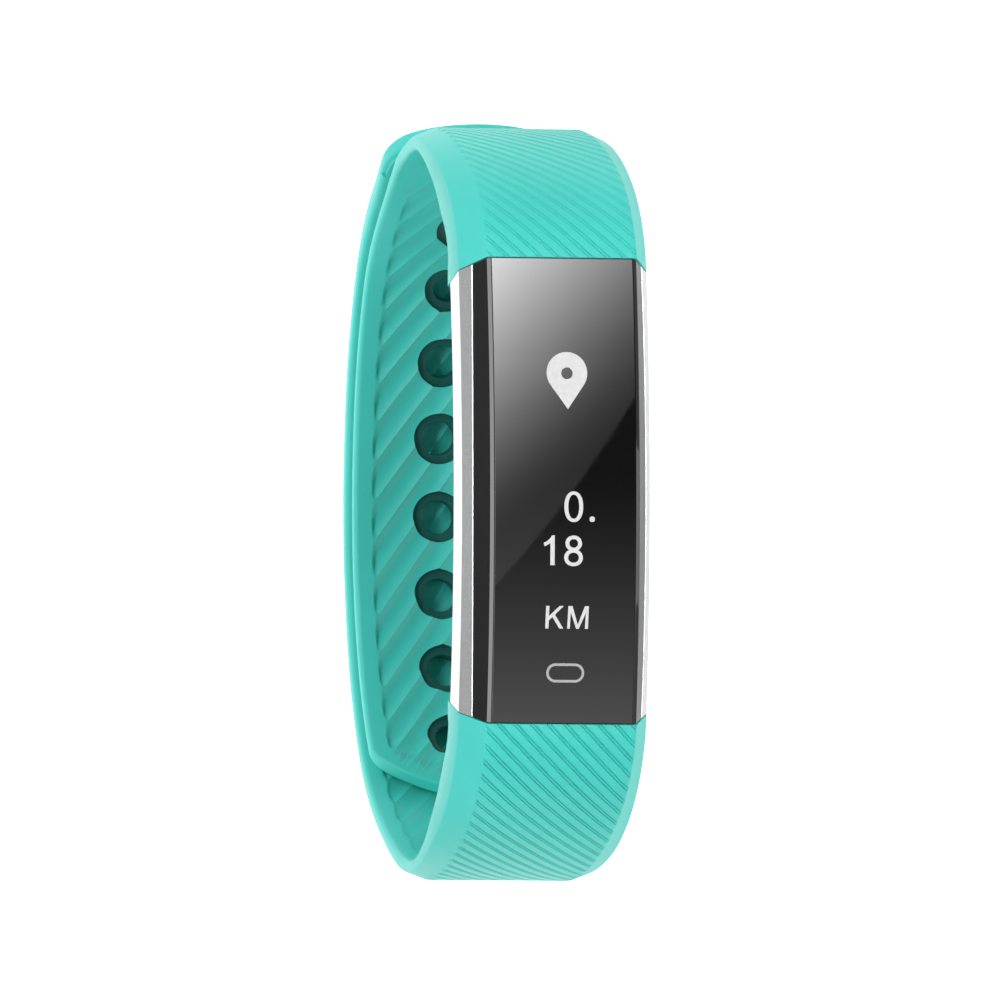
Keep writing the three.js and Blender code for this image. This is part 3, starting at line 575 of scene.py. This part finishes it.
def tip_distance(x, s, outline):
    """Distance inside the rounded tip, positive inside."""
    poly = [(px, ps) for px, ps in outline]
    full = [(-px, ps) for px, ps in poly] + [(px, ps) for px, ps in reversed(poly)]
    # the far end is closed by the flat between the two halves
    a = np.array(full[:-1]); b = np.array(full[1:])
    q = np.stack([x.ravel(), s.ravel()], 1)
    best = np.full(len(q), 1e9)
    for p0, p1 in zip(a, b):
        d = p1 - p0
        l2 = max(float(d @ d), 1e-12)
        t = np.clip(((q - p0) @ d) / l2, 0, 1)
        best = np.minimum(best, np.linalg.norm(q - (p0 + t[:, None] * d), axis=1))
    # inside test against the half width at this s
    ss = np.array([ps for _, ps in poly]); xx = np.array([px for px, _ in poly])
    limit = np.interp(q[:, 1], ss, xx)
    inside = (np.abs(q[:, 0]) < limit) & (q[:, 1] < ss[-1])
    return np.where(inside, best, -best).reshape(x.shape)


RIB_ROWS = [(0.0, 0.0), (0.20, -0.014), (0.42, -0.014), (0.60, 0.0), (0.645, 0.05), (0.685, 0.14), (0.72, 0.14), (0.755, 0.03),
            (0.79, -0.03), (0.835, -0.03), (0.87, 0.03), (0.905, 0.13), (0.94, 0.13), (0.975, 0.05)]


def grid_solid(name, xs, rows, shear, height, far, limit=6.25):
    """Closed heightfield: rows (list of (r, value)), columns xs, bottom or top at `far`."""
    r = np.array([q[0] for q in rows])
    value = np.array([q[1] for q in rows])
    X = np.broadcast_to(xs[None, :], (len(r), len(xs))).copy()
    S = r[:, None] + shear * np.clip(X, -limit, limit)
    V = np.broadcast_to(value[:, None], X.shape)
    Xr, N = height(X, S, V, r[:, None] + 0 * X)
    nr, nc = X.shape
    front = np.stack([Xr, S, N], -1).reshape(-1, 3)
    back = np.stack([Xr, S, np.full_like(N, far)], -1).reshape(-1, 3)
    verts = np.concatenate([front, back])
    off = nr * nc
    idx = np.arange(nr * nc).reshape(nr, nc)
    a, b, c, d = idx[:-1, :-1], idx[:-1, 1:], idx[1:, 1:], idx[1:, :-1]
    quads = np.stack([a, b, c, d], -1).reshape(-1, 4)
    flipped = quads[:, ::-1] + off
    edges = []
    loop = list(idx[0, :]) + list(idx[1:, -1]) + list(idx[-1, -2::-1]) + list(idx[-2:0:-1, 0])
    for i, u in enumerate(loop):
        v = loop[(i + 1) % len(loop)]
        edges.append((v, u, u + off, v + off))
    faces = np.concatenate([quads, flipped, np.array(edges)])
    v0 = verts[faces[:, 0]]; v1 = verts[faces[:, 1]]; v2 = verts[faces[:, 2]]; v3 = verts[faces[:, 3]]
    vol = (np.einsum("ij,ij->i", v0, np.cross(v1, v2)) + np.einsum("ij,ij->i", v0, np.cross(v2, v3))).sum()
    if vol < 0:
        faces = faces[:, ::-1]
    return mesh_object(name, verts, faces)


def strap_flat(name, line, thick, side, rnd, slope, length, flute, begin, narrow):
    """The whole strap in flat space (x, s, n): ribbed outside, fluted inside, rounded tip."""
    outline = [(max(x - narrow, 0.0) if x > 2 * narrow else x * 0.5, q) for x, q in tip_outline(length, rnd, slope)]

    def half_width(q):
        return full_width(q) - narrow * np.clip((q - 22) / 8, 0, 1)

    def edge_distance(Xs, S, near_tip):
        w = half_width(S)
        d = w - np.abs(Xs)
        if near_tip.any():
            t = tip_distance(Xs[near_tip], S[near_tip], outline)
            d2 = d.copy()
            d2[near_tip] = np.minimum(d[near_tip], t)
            return d2
        return d

    # outside: columns given as a share of flat and chamfer
    flat = np.linspace(-1, 1, 21)[1:-1]
    cham = np.array([1.0, 1.06, 1.16, 1.4, 1.7, 1.9, 1.97, 2.0])      # 1 = flat edge, 2 = side wall
    cham_in = np.array([0.975])
    cols = np.concatenate([-cham[::-1], -cham_in, flat[np.abs(flat) < 0.96], cham_in, cham])

    def outer(X, S, V, R):
        w, f, c = half_width(S), flat_half(S), chamfer_depth(S)
        c = np.minimum(c, thick(S) - 0.75)
        share = np.abs(cols)[None, :] + 0 * X
        ax = np.where(share <= 1, share * f, f + (share - 1) * (w - f))
        Xr = np.sign(cols)[None, :] * ax
        dist = w - np.abs(Xr)
        cw = w - f
        k = (cw - dist) / cw
        n = np.maximum(0, k) * c
        r0 = 0.09                                                     # soft start of the chamfer
        n = np.where(np.abs(cw - dist) < r0, ((cw - dist) + r0) ** 2 / (4 * r0) * c / cw, n)
        n = np.where(dist < 0.1, n + (0.1 - dist) ** 2 / 0.1 * 0.9, n)  # soft edge at the side
        n = np.where(dist < 0, n - dist * 3, n)
        return Xr, np.maximum(n, V)

    r_lo, r_hi = -2.0 - 9.8, length + 1.5 + 9.8
    rows = []
    k = math.floor(r_lo / RIB_PITCH)
    while k * RIB_PITCH < r_hi:
        rows += [((k + u) * RIB_PITCH, v) for u, v in RIB_ROWS]
        k += 1
    shear = side * RIB_TAN
    A = grid_solid(name + "_a", cols * 6.25, rows, shear, outer, 9.5)

    # inside: concave flutes with a crisp end
    inner_cols = np.array([7.75, 7.34, 7.30, 7.26, 7.19, 7.09, 6.95, 6.6, 6.2, 5.95, 5.82, 5.72, 5.62, 5.52, 5.40, 5.2,
                           4.8, 4.3, 3.8, 3.3, 2.8, 2.3, 1.8, 1.3, 0.8, 0.4])
    xs = np.concatenate([-inner_cols, [0.0], inner_cols[::-1]])
    PR = 12 if narrow else 8

    def inner(X, S, V, R):
        w = half_width(S)
        # columns outside the flutes follow the strap's real width
        wide = np.abs(X) > 6.3
        Xr = np.where(wide, np.sign(X) * (np.abs(X) + (w - 7.3)), X)
        near = S > length - rnd - 6 * slope - 3.5
        far_in = edge_distance(Xr, S, near)
        dist = w - np.abs(Xr)
        u = V
        arc = np.sqrt(np.clip(1 - (2 * u) ** 2, 0, 1))
        margin = 1.75 - 0.36 * arc
        open_ = np.clip((far_in - margin) / 0.16, 0, 1)
        start = np.clip((S - begin[0]) / (begin[1] - begin[0]), 0, 1)
        start = start * start * (3 - 2 * start)
        depth = flute(S) * (1 - (2 * u) ** 2) * open_ * start
        T = thick(S) - 0.22 * np.clip(1.5 - far_in, 0, 1.5) * start   # the rim falls towards the edge
        n = T - depth
        rr = 0.32
        inside = np.clip(rr - dist, 0, rr)
        n = n - np.where(dist < rr, rr - np.sqrt(np.clip(rr * rr - inside * inside, 0, None)), 0)
        n = np.where(dist < 0, T - rr + dist * 5, n)
        return Xr, n

    rows = []
    k = math.floor((r_lo) / FLUTE_PITCH)
    while k * FLUTE_PITCH < r_hi:
        rows += [((k + i / PR) * FLUTE_PITCH, i / PR - (1 if i / PR > 0.5 else 0)) for i in range(PR)]
        k += 1
    # V is 0 at the middle of a flute and 0.5 at a crest
    B = grid_solid(name + "_b", xs, rows, side * FLUTE_TAN, inner, -3.0)

    # the outline cuts the tip, with the same chamfer and rim as the sides
    T = float(thick(length - 1)) - 0.22 * 1.18
    c, cw, rr = float(chamfer_depth(length)), float(half_width(length) - flat_half(length)), 0.32
    levels = [(-1.5, 0.34), (0.0, 0.34), (0.05, 0.22), (0.12, 0.12), (0.22, 0.04), (0.34, 0.0), (T - rr, 0.0)]
    levels += [(T - rr + rr * math.sin(a), rr * (1 - math.cos(a))) for a in (0.4, 0.8, 1.2, math.pi / 2)] + [(9.0, rr)]
    rings = []
    for n, by in levels:
        half = inset_outline([(x + 0.006 * (x > 1), q) for x, q in outline], by)
        ring = [(9.5, 0.04), (9.5, outline[0][1])] + half
        ring = ring + [(-x, q) for x, q in reversed(ring[:-1])]
        rings.append([(x, q, n) for x, q in ring])
    C = loft(name + "_c", rings)
    boolean(A, [B], "INTERSECT")
    boolean(A, [C], "INTERSECT")
    A.name = name
    return A


def bend_object(o, line):
    v = np.zeros(len(o.data.vertices) * 3)
    o.data.vertices.foreach_get("co", v)
    q = line.bend(v.reshape(-1, 3))
    q[:, 2] = np.maximum(q[:, 2], 0.0)               # the flat that the band stands on
    o.data.vertices.foreach_set("co", q.ravel())
    o.data.update()


make_pod()

hs = strap_flat("hole_strap_moulding", hole, hole_thick, -1, 3.0, 0.36, hole.length + 1.6, lambda q: 0.36,
                (31.0, 39.0), 0.22)
tools = []
for i, s0 in enumerate(HOLE_S):
    T = float(hole_thick(s0))
    m = Matrix.Translation((0, s0, 0))
    tools.append(revolve("h%d" % i, [(0, -1), (HOLE_R + 0.9, -1), (HOLE_R + 0.10, 0.0), (HOLE_R + 0.03, 0.06), (HOLE_R, 0.16),
                                     (HOLE_R, T - RECESS_DEPTH - 0.10), (HOLE_R + 0.03, T - RECESS_DEPTH - 0.03),
                                     (HOLE_R + 0.10, T - RECESS_DEPTH), (RECESS_R - 0.06, T - RECESS_DEPTH),
                                     (RECESS_R, T - RECESS_DEPTH + 0.06),
                                     (RECESS_R, T - 0.12), (RECESS_R + 0.04, T - 0.03), (RECESS_R + 0.10, T + 0.01), (RECESS_R + 0.9, T + 1), (0, T + 1)],
                         56, m))
boolean(hs, tools)


def mesh_centres(o):
    """1 for faces in the eyelets' recesses and bores, which get painted shade (a darker teal for the shadow in these
    hollows), else 0; o is already bent.
    """
    mid = np.zeros(len(o.data.polygons) * 3)
    o.data.polygons.foreach_get("center", mid)
    mid = mid.reshape(-1, 3)
    nor = np.zeros(len(mid) * 3)
    o.data.polygons.foreach_get("normal", nor)
    nor = nor.reshape(-1, 3)
    dark = np.zeros(len(mid), bool)
    for s0 in HOLE_S:
        T = float(hole_thick(s0))
        p0, n0 = hole.at(s0)
        rel = mid[:, 1:] - p0
        along = rel @ n0
        off = np.hypot(mid[:, 0], rel @ np.array([-n0[1], n0[0]]))
        wall = (off < RECESS_R + 0.07) & (np.abs(nor[:, 1:] @ n0) < 0.72) & (along > 0.2)
        ledge = (off < RECESS_R - 0.03) & (along > 0.2) & (along < T - RECESS_DEPTH + 0.12)
        dark |= (wall & (along < T + 0.02)) | ledge
    return dark.astype(np.int32)


bend_object(hs, hole)
boolean(hs, [box_mesh("t", -TW / 2 - 0.3, TW / 2 + 0.3, -3, TO + 0.3, -TT / 2 - 0.3, TT / 2 + 0.3, TONGUE)])
painted_shade_faces = mesh_centres(hs)
finish_mesh(hs, "strap", 38)
# the eyelet recesses and bores get the painted-shade material, a darker teal for their shadow
hs.data.materials.append(MAT["strap_painted_shade"])
hs.data.polygons.foreach_set("material_index", painted_shade_faces)
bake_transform(hs)
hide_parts("hole_strap_socket", "hole_strap_top", "hole_strap_upper", "hole_strap_tail")

# clasp frame on the peg strap: +Z out of the band, +X across
CLASP = Matrix(((1, 0, 0, 0), (0, -0.60389, 0.79707, 27.49428), (0, -0.79707, -0.60389, 11.65531), (0, 0, 0, 1)))
ps = strap_flat("peg_strap_moulding", peg, peg_thick, 1, 6.2, 0.0, peg.length, lambda q: np.interp(q, [20, 34, 48], [0.08, 0.14, 0.30]),
                (14.0, 22.0), 0.0)
cuts = [25.0, 58.0, 84.5]
names = ["peg_strap_front_moulding", "peg_strap_bottom_moulding", "peg_strap_back_moulding", "peg_strap_end_moulding"]
edges = [-5.0] + cuts + [peg.length + 5]
parts = []
for i, nm in enumerate(names):
    part = duplicate(ps, nm)
    boolean(part, [box_mesh("t", -12, 12, edges[i], edges[i + 1], -3, 12)], "INTERSECT")
    bend_object(part, peg)
    parts.append(part)
bpy.data.objects.remove(ps, do_unlink=True)
boolean(parts[0], [box_mesh("t", -LW / 2 - 0.3, LW / 2 + 0.3, -3, LO + 0.3, -LT / 2 - 0.3, LT / 2 + 0.3, LUG)])
recess = plate_mesh("t", 4.55, 5.45, -1.0, 3, 1.6, CLASP, 12)
boolean(parts[3], [recess] + [revolve("t%d" % i, [(0, -5), (1.35, -5), (1.35, 2), (0, 2)], 40,
                                      CLASP @ Matrix.Translation((0, y, 0))) for i, y in ((1, 3.225), (2, -3.225))])
for part in parts:
    finish_mesh(part, "strap", 38)
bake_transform(parts[0])
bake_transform(parts[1])
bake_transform(parts[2])
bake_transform(parts[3])
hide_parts("peg_strap_socket", "peg_strap_front")
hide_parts("peg_strap_bottom")
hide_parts("peg_strap_back")
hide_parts("peg_strap_clasp_end")

# clasp
plate = plate_mesh("clasp_button_plate", 4.4, 5.3, -0.9, -0.02, 1.5, CLASP, 12, edge=0.28, edge_steps=5)
boolean(plate, [plate_mesh("t", 3.3, 4.2, -0.14, 1, 1.0, CLASP, 10)])
finish_mesh(plate, "steel", 32)
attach(plate, "clasp_end")
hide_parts("clasp_plate")
LIFT = 2.32


def peg_profile():
    reach = LIFT + 1.0
    return [(0, -reach), (0.42, -reach), (0.52, -reach + 0.02), (0.60, -reach + 0.08), (0.68, -reach + 0.2), (0.78, -reach + 0.45),
            (0.88, -LIFT - 0.2), (0.98, -LIFT), (1.04, -LIFT + 0.2), (1.05, -LIFT + 0.4), (1.05, -0.94), (0, -0.94)]


for i, y in ((1, 3.225), (2, -3.225)):
    pg = revolve("clasp_stud_%d" % i, peg_profile(), 40, CLASP @ Matrix.Translation((0, y, 0)))
    finish_mesh(pg, "steel", 32)
    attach(pg, "clasp_end")
    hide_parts("clasp_peg_%d" % i)


# ------------------------------------------------------------------ display marks
# The window as it is seen: x across, y along, at its own height.
def window_point(x, y):
    t = y / pod_end(POD_SAG)
    return Vector((x, y, Z(sag(t))))


def marks(name, polys, look="glow", lift=0.012, thick=0.01):
    """Flat outlines [(outer, [holes])] in millimetres laid on the window as one thin closed solid."""
    parts = []
    for outer, holes in polys:
        cu = bpy.data.curves.new("c", "CURVE")
        cu.dimensions, cu.fill_mode, cu.extrude = "2D", "BOTH", 0.5
        for lp in [outer] + list(holes):
            sp = cu.splines.new("POLY")
            sp.points.add(len(lp) - 1)
            for k, (x, y) in enumerate(lp):
                sp.points[k].co = (x, y, 0, 1)
            sp.use_cyclic_u = True
        ob = bpy.data.objects.new("c", cu)
        bpy.context.collection.objects.link(ob)
        me = bpy.data.meshes.new_from_object(ob.evaluated_get(bpy.context.evaluated_depsgraph_get()))
        bpy.data.objects.remove(ob, do_unlink=True)
        bm = bmesh.new()
        bm.from_mesh(me)
        bmesh.ops.remove_doubles(bm, verts=bm.verts, dist=1e-4)
        bmesh.ops.recalc_face_normals(bm, faces=bm.faces)
        bm.to_mesh(me)
        bm.free()
        o = bpy.data.objects.new(name, me)
        bpy.context.collection.objects.link(o)
        parts.append(o)
    o = parts[0]
    if len(parts) > 1:
        boolean(o, parts[1:], "UNION")
    o.name = name
    for v in o.data.vertices:
        q = window_point(v.co.x, v.co.y)
        v.co = Vector((v.co.x, v.co.y, q.z + lift + v.co.z * thick))
    finish_mesh(o, look, 30)
    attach(o, "pod")
    return o


def to_mm(px, py, d=0.2):
    return (px - 565 + 2.978 * d) / 11.94, (489.5 + 0.49 * d - py) / 12.31


def circle(cx, cy, r, n=48, squash=1.0):
    return [(cx + r * math.cos(2 * math.pi * i / n), cy + r * squash * math.sin(2 * math.pi * i / n)) for i in range(n)]


def capsule(cx, cy, hw, hh, n=14):
    pts = []
    for sx, a0 in ((1, -90), (-1, 90)):
        for i in range(n + 1):
            a = math.radians(a0 + 180 * i / n)
            pts.append((cx + sx * (hw - hh) + hh * math.cos(a), cy + hh * math.sin(a)))
    return pts


def bar(x0, y0, x1, y1, w):
    dx, dy = x1 - x0, y1 - y0
    l = math.hypot(dx, dy)
    nx, ny = -dy / l * w / 2, dx / l * w / 2
    return [(x0 + nx, y0 + ny), (x0 - nx, y0 - ny), (x1 - nx, y1 - ny), (x1 + nx, y1 + ny)]


def make_marks():
    u = 1 / 12.1                                     # one unit of the marks' grid in millimetres
    # map pin
    cx, cy = to_mm(566.7, 372.6)
    tx, ty = to_mm(567, 408.8, 0.3)
    r = 20.5 * u
    half = math.degrees(math.acos(r / math.hypot(tx - cx, ty - cy)))
    pts = []
    a0, a1 = -90 + half, 270 - half
    for i in range(49):
        a = math.radians(a0 + (a1 - a0) * i / 48)
        pts.append((cx + r * math.cos(a), cy + r * math.sin(a)))
    pts.append((tx, ty))
    marks("mark_pin", [(pts, [list(reversed(circle(cx, cy - 0.03, 5.8 * u)))])])

    def ring(px, py, rx, ry, ix, iy, power=2.2):
        c = to_mm(px, py, 0.35)

        def loop(a, b):
            out = []
            for i in range(56):
                t = 2 * math.pi * i / 56
                co, si = math.cos(t), math.sin(t)
                out.append((c[0] + a * u * math.copysign(abs(co) ** (2 / power), co), c[1] + b * u * math.copysign(abs(si) ** (2 / power), si)))
            return out
        return loop(rx, ry), [list(reversed(loop(ix, iy)))]

    def poly(*pts):
        return [to_mm(x, y, 0.4) for x, y in pts], []
    marks("mark_zero", [ring(572.2, 505.9, 9.5, 15.0, 5.5, 11.8)])
    marks("mark_point", [(ring(590.6, 518.2, 2.6, 2.6, 1, 1, 2.6)[0], [])])
    marks("mark_one", [poly((553.3, 534.6), (553.3, 564.3), (549.0, 564.3), (549.0, 542.2), (546.2, 544.1), (543.2, 545.6),
                            (542.2, 542.2), (545.8, 540.2), (548.6, 537.7), (550.9, 534.6))])
    marks("mark_eight", [ring(572.3, 542.4, 8.3, 7.7, 4.4, 4.2, 2.1), ring(572.2, 556.6, 9.4, 8.3, 5.4, 4.9, 2.1)])
    marks("mark_unit", [
        poly((545.4, 604.7), (548.7, 604.7), (548.0, 627.2), (544.8, 627.2)),
        poly((558.8, 604.7), (563.0, 604.7), (547.6, 619.8), (547.7, 615.4)),
        poly((551.0, 614.6), (553.8, 612.6), (562.8, 627.2), (558.9, 627.2)),
        poly((567.6, 604.7), (570.2, 604.7), (569.3, 627.2), (566.6, 627.2)),
        poly((567.9, 604.7), (571.7, 604.7), (578.3, 627.2), (575.6, 627.2)),
        poly((584.0, 604.7), (587.8, 604.7), (578.2, 627.2), (575.7, 627.2)),
        poly((585.3, 604.7), (588.0, 604.7), (587.3, 627.2), (584.3, 627.2)),
    ])
    # touch key outline
    kx, ky = to_mm(564.6, 671.3, 0.75)
    marks("mark_key", [(capsule(kx, ky, 19.2 * u, 9.3 * u), [list(reversed(capsule(kx, ky, 16.7 * u, 6.8 * u)))])], "glow_dim")


make_marks()

# ------------------------------------------------------------------ camera
AIM = Vector((0.00032, 0.00010, 0.02265))
direction = Vector((-math.sin(math.radians(14.3)), -math.sin(math.radians(2.3)), 0))
direction.z = math.sqrt(1 - direction.x ** 2 - direction.y ** 2)
DIST = 3.0
cam_data = bpy.data.cameras.new("camera")
cam = bpy.data.objects.new("camera", cam_data)
bpy.context.collection.objects.link(cam)
cam.location = AIM + direction * DIST
zax = direction.normalized()
xax = Vector((0, 1, 0)).cross(zax).normalized()
yax = zax.cross(xax)
roll = 0.0
x2 = xax * math.cos(roll) + yax * math.sin(roll)
y2 = -xax * math.sin(roll) + yax * math.cos(roll)
cam.matrix_world = Matrix(((x2.x, y2.x, zax.x, cam.location.x), (x2.y, y2.y, zax.y, cam.location.y),
                           (x2.z, y2.z, zax.z, cam.location.z), (0, 0, 0, 1)))
cam_data.sensor_width = 36
cam_data.lens = 36 * DIST / (1000 / 12290.0)
cam_data.clip_start, cam_data.clip_end = 0.05, 40
bpy.context.scene.camera = cam

# ------------------------------------------------------------------ stage and light
scene = bpy.context.scene
scene.view_settings.view_transform = "Standard"
scene.view_settings.look = "None"
world = bpy.data.worlds.new("world")
scene.world = world
world.use_nodes = True
wn = world.node_tree
bg = wn.nodes["Background"]
tc = wn.nodes.new("ShaderNodeTexCoord")
sep = wn.nodes.new("ShaderNodeSeparateXYZ")
wn.links.new(tc.outputs["Generated"], sep.inputs[0])
mr = wn.nodes.new("ShaderNodeMapRange")
mr.interpolation_type = "SMOOTHSTEP"
mr.inputs["From Min"].default_value, mr.inputs["From Max"].default_value = 0.02, 0.55
mr.inputs["To Min"].default_value, mr.inputs["To Max"].default_value = 1.0, 0.12
wn.links.new(sep.outputs["Z"], mr.inputs["Value"])
wn.links.new(mr.outputs[0], bg.inputs["Strength"])
bg.inputs["Color"].default_value = (1, 1, 1, 1)

floor_mat, nt, p = new_material("floor_white")
nt.links.new(ramp(nt, noise(nt, 20, 2.0), (0.86, 0.86, 0.86), (0.88, 0.88, 0.88)), p.inputs["Base Color"])
p.inputs["Roughness"].default_value = 0.9
p.inputs["Emission Color"].default_value = (1, 1, 1, 1)
p.inputs["Emission Strength"].default_value = 0.72
floor = mesh_object("floor", [(-8, -8, -0.12), (8, -8, -0.12), (8, 8, -0.12), (-8, 8, -0.12)], [(0, 1, 2, 3)])
floor.data.materials.append(floor_mat)


def area(name, loc, target, size, power, size_y=None, color=(1, 1, 1)):
    d = bpy.data.lights.new(name, "AREA")
    d.shape = "RECTANGLE"
    d.size, d.size_y, d.energy, d.color = size, size_y or size, power, color
    o = bpy.data.objects.new(name, d)
    bpy.context.collection.objects.link(o)
    z = (Vector(loc) - Vector(target)).normalized()
    if abs(z.y) > 0.7:
        x = Vector((1, 0, 0))
    else:
        x = Vector((0, 1, 0)).cross(z).normalized()                   # the long side lies along the band
    y = z.cross(x).normalized()
    o.matrix_world = Matrix(((x.x, y.x, z.x, loc[0]), (x.y, y.y, z.y, loc[1]), (x.z, y.z, z.z, loc[2]), (0, 0, 0, 1)))
    o.visible_camera = False
    return o


area("key_front", (0.17, 0.06, 1.0), (0, 0, 0.02), 0.09, 2.6, 0.70)
area("key_front_2", (0.06, 0.06, 1.05), (0, 0, 0.02), 0.09, 2.2, 0.70)
area("key_left", (-0.575, 0.10, 0.455), (0, 0, 0.02), 0.15, 3.1, 0.80)
area("key_right", (0.75, -0.15, 0.40), (0, 0, 0.02), 0.45, 1.3)
area("fill_low", (-0.10, -0.80, 0.60), (0, 0, 0.02), 0.5, 0.5)


def window_card():
    """A soft light card seen only in the window, bright at its upper left and cut off along a slanted edge."""
    view = direction.normalized()
    centre = Vector((0, 0, DEPTH)) / 1000

    def hit(px, py):
        x, y = to_mm(px, py, 0.4)
        n = Vector((0, 2 * POD_SAG * y / POD_HALF_LEN ** 2, 1)).normalized()
        return Vector((x, y, Z(sag(y / POD_HALF_LEN)))) / 1000, 2 * n.dot(view) * n - view
    _, r0 = hit(565, 490)
    r0.normalize()
    origin = centre + r0 * 0.5
    ex = Vector((0, 1, 0)).cross(r0).normalized()
    ey = r0.cross(ex)
    rows, uv = [], []
    for px in (490, 530, 565, 600, 636):
        for py in (262, 330, 400, 490, 580, 650, 718):
            p0, r = hit(px, py)
            t = (origin - p0).dot(r0) / r.dot(r0)
            q = p0 + r * t - origin
            uv.append((q.dot(ex), q.dot(ey), 1.0))
            rows.append((px, py))
    uv, rows = np.array(uv), np.array(rows, float)
    to_px = np.linalg.lstsq(uv, rows, rcond=None)[0]            # columns: px, py from (u, v, 1)
    lo, hi = uv.min(0), uv.max(0)
    m, nt, p = new_material("card_gradient")
    nt.nodes.remove(p)
    out = nt.nodes["Material Output"]
    em = nt.nodes.new("ShaderNodeEmission")
    nt.links.new(em.outputs[0], out.inputs[0])
    co = nt.nodes.new("ShaderNodeTexCoord")

    def dot(a, b, c):
        d = nt.nodes.new("ShaderNodeVectorMath")
        d.operation = "DOT_PRODUCT"
        d.inputs[1].default_value = (a, b, 0)
        nt.links.new(co.outputs["Object"], d.inputs[0])
        return calc("ADD", d.outputs["Value"], c)

    def calc(op, a, b=0.0, c=None):
        k = nt.nodes.new("ShaderNodeMath")
        k.operation = op
        for i, v in enumerate((a, b, c)):
            if v is None:
                continue
            if isinstance(v, (int, float)):
                k.inputs[i].default_value = v
            else:
                nt.links.new(v, k.inputs[i])
        return k.outputs[0]

    def linear(cx, cy, c0):
        w = to_px[:, 0] * cx + to_px[:, 1] * cy
        return dot(float(w[0]), float(w[1]), float(w[2]) + c0)
    q = linear(1 / 120, 1 / 100, -505 / 120 - 290 / 100)
    lit = calc("POWER", calc("MAXIMUM", calc("SUBTRACT", 1.0, calc("DIVIDE", calc("MAXIMUM", q, -0.6), 2.35)), 0.0), 2.0)
    lit = calc("ADD", calc("MULTIPLY", lit, 0.60), 0.022)
    edge = linear(-0.791, -0.612, 0.791 * 636 + 0.612 * 394)
    mask = nt.nodes.new("ShaderNodeMapRange")
    mask.interpolation_type = "SMOOTHSTEP"
    mask.inputs["From Min"].default_value, mask.inputs["From Max"].default_value = -1.2, 1.2
    nt.links.new(edge, mask.inputs["Value"])
    low = calc("POWER", calc("MAXIMUM", calc("DIVIDE", linear(0, 1, -470.0), 220.0), 0.0), 1.5)
    low = calc("ADD", calc("MULTIPLY", low, 0.055), 0.006)
    total = calc("ADD", low, calc("MULTIPLY", lit, mask.outputs[0]))
    nt.links.new(calc("DIVIDE", total, 0.036), em.inputs["Strength"])
    w, h = 0.010, 0.030
    o = mesh_object("card_window", [(lo[0] - w, lo[1] - h, 0), (hi[0] + w, lo[1] - h, 0), (hi[0] + w, hi[1] + h, 0), (lo[0] - w, hi[1] + h, 0)], [(0, 1, 2, 3)])
    o.data.materials.append(m)
    o.matrix_world = Matrix(((ex.x, ey.x, r0.x, origin.x), (ex.y, ey.y, r0.y, origin.y), (ex.z, ey.z, r0.z, origin.z), (0, 0, 0, 1)))
    o.visible_camera = False


window_card()

card_mat, nt, p = new_material("card_grey")
nt.links.new(ramp(nt, noise(nt, 10, 2.0), (0.45, 0.45, 0.45), (0.48, 0.48, 0.48)), p.inputs["Base Color"])
p.inputs["Roughness"].default_value = 0.9
card = mesh_object("flag_left", [(-0.36, -0.30, 0.002), (-0.046, -0.30, 0.002), (-0.046, 0.30, 0.002), (-0.36, 0.30, 0.002)], [(0, 1, 2, 3)])
card.data.materials.append(card_mat)
card.visible_camera = False
right_mat, nt, p = new_material("card_pale")
nt.links.new(ramp(nt, noise(nt, 10, 2.0), (0.86, 0.86, 0.86), (0.88, 0.88, 0.88)), p.inputs["Base Color"])
p.inputs["Roughness"].default_value = 0.9
p.inputs["Emission Color"].default_value = (1, 1, 1, 1)
p.inputs["Emission Strength"].default_value = 0.45
right = mesh_object("flag_right", [(0.012, -0.30, 0.002), (0.13, -0.30, 0.002), (0.13, 0.30, 0.002), (0.012, 0.30, 0.002)], [(0, 1, 2, 3)])
right.data.materials.append(right_mat)
right.visible_camera = False
wall = mesh_object("flag_wall", [(-0.95, -0.9, 0.003), (-0.95, 0.9, 0.003), (-0.95, 0.9, 0.55), (-0.95, -0.9, 0.55)], [(0, 1, 2, 3)])
wall.data.materials.append(card_mat)
wall.visible_camera = False
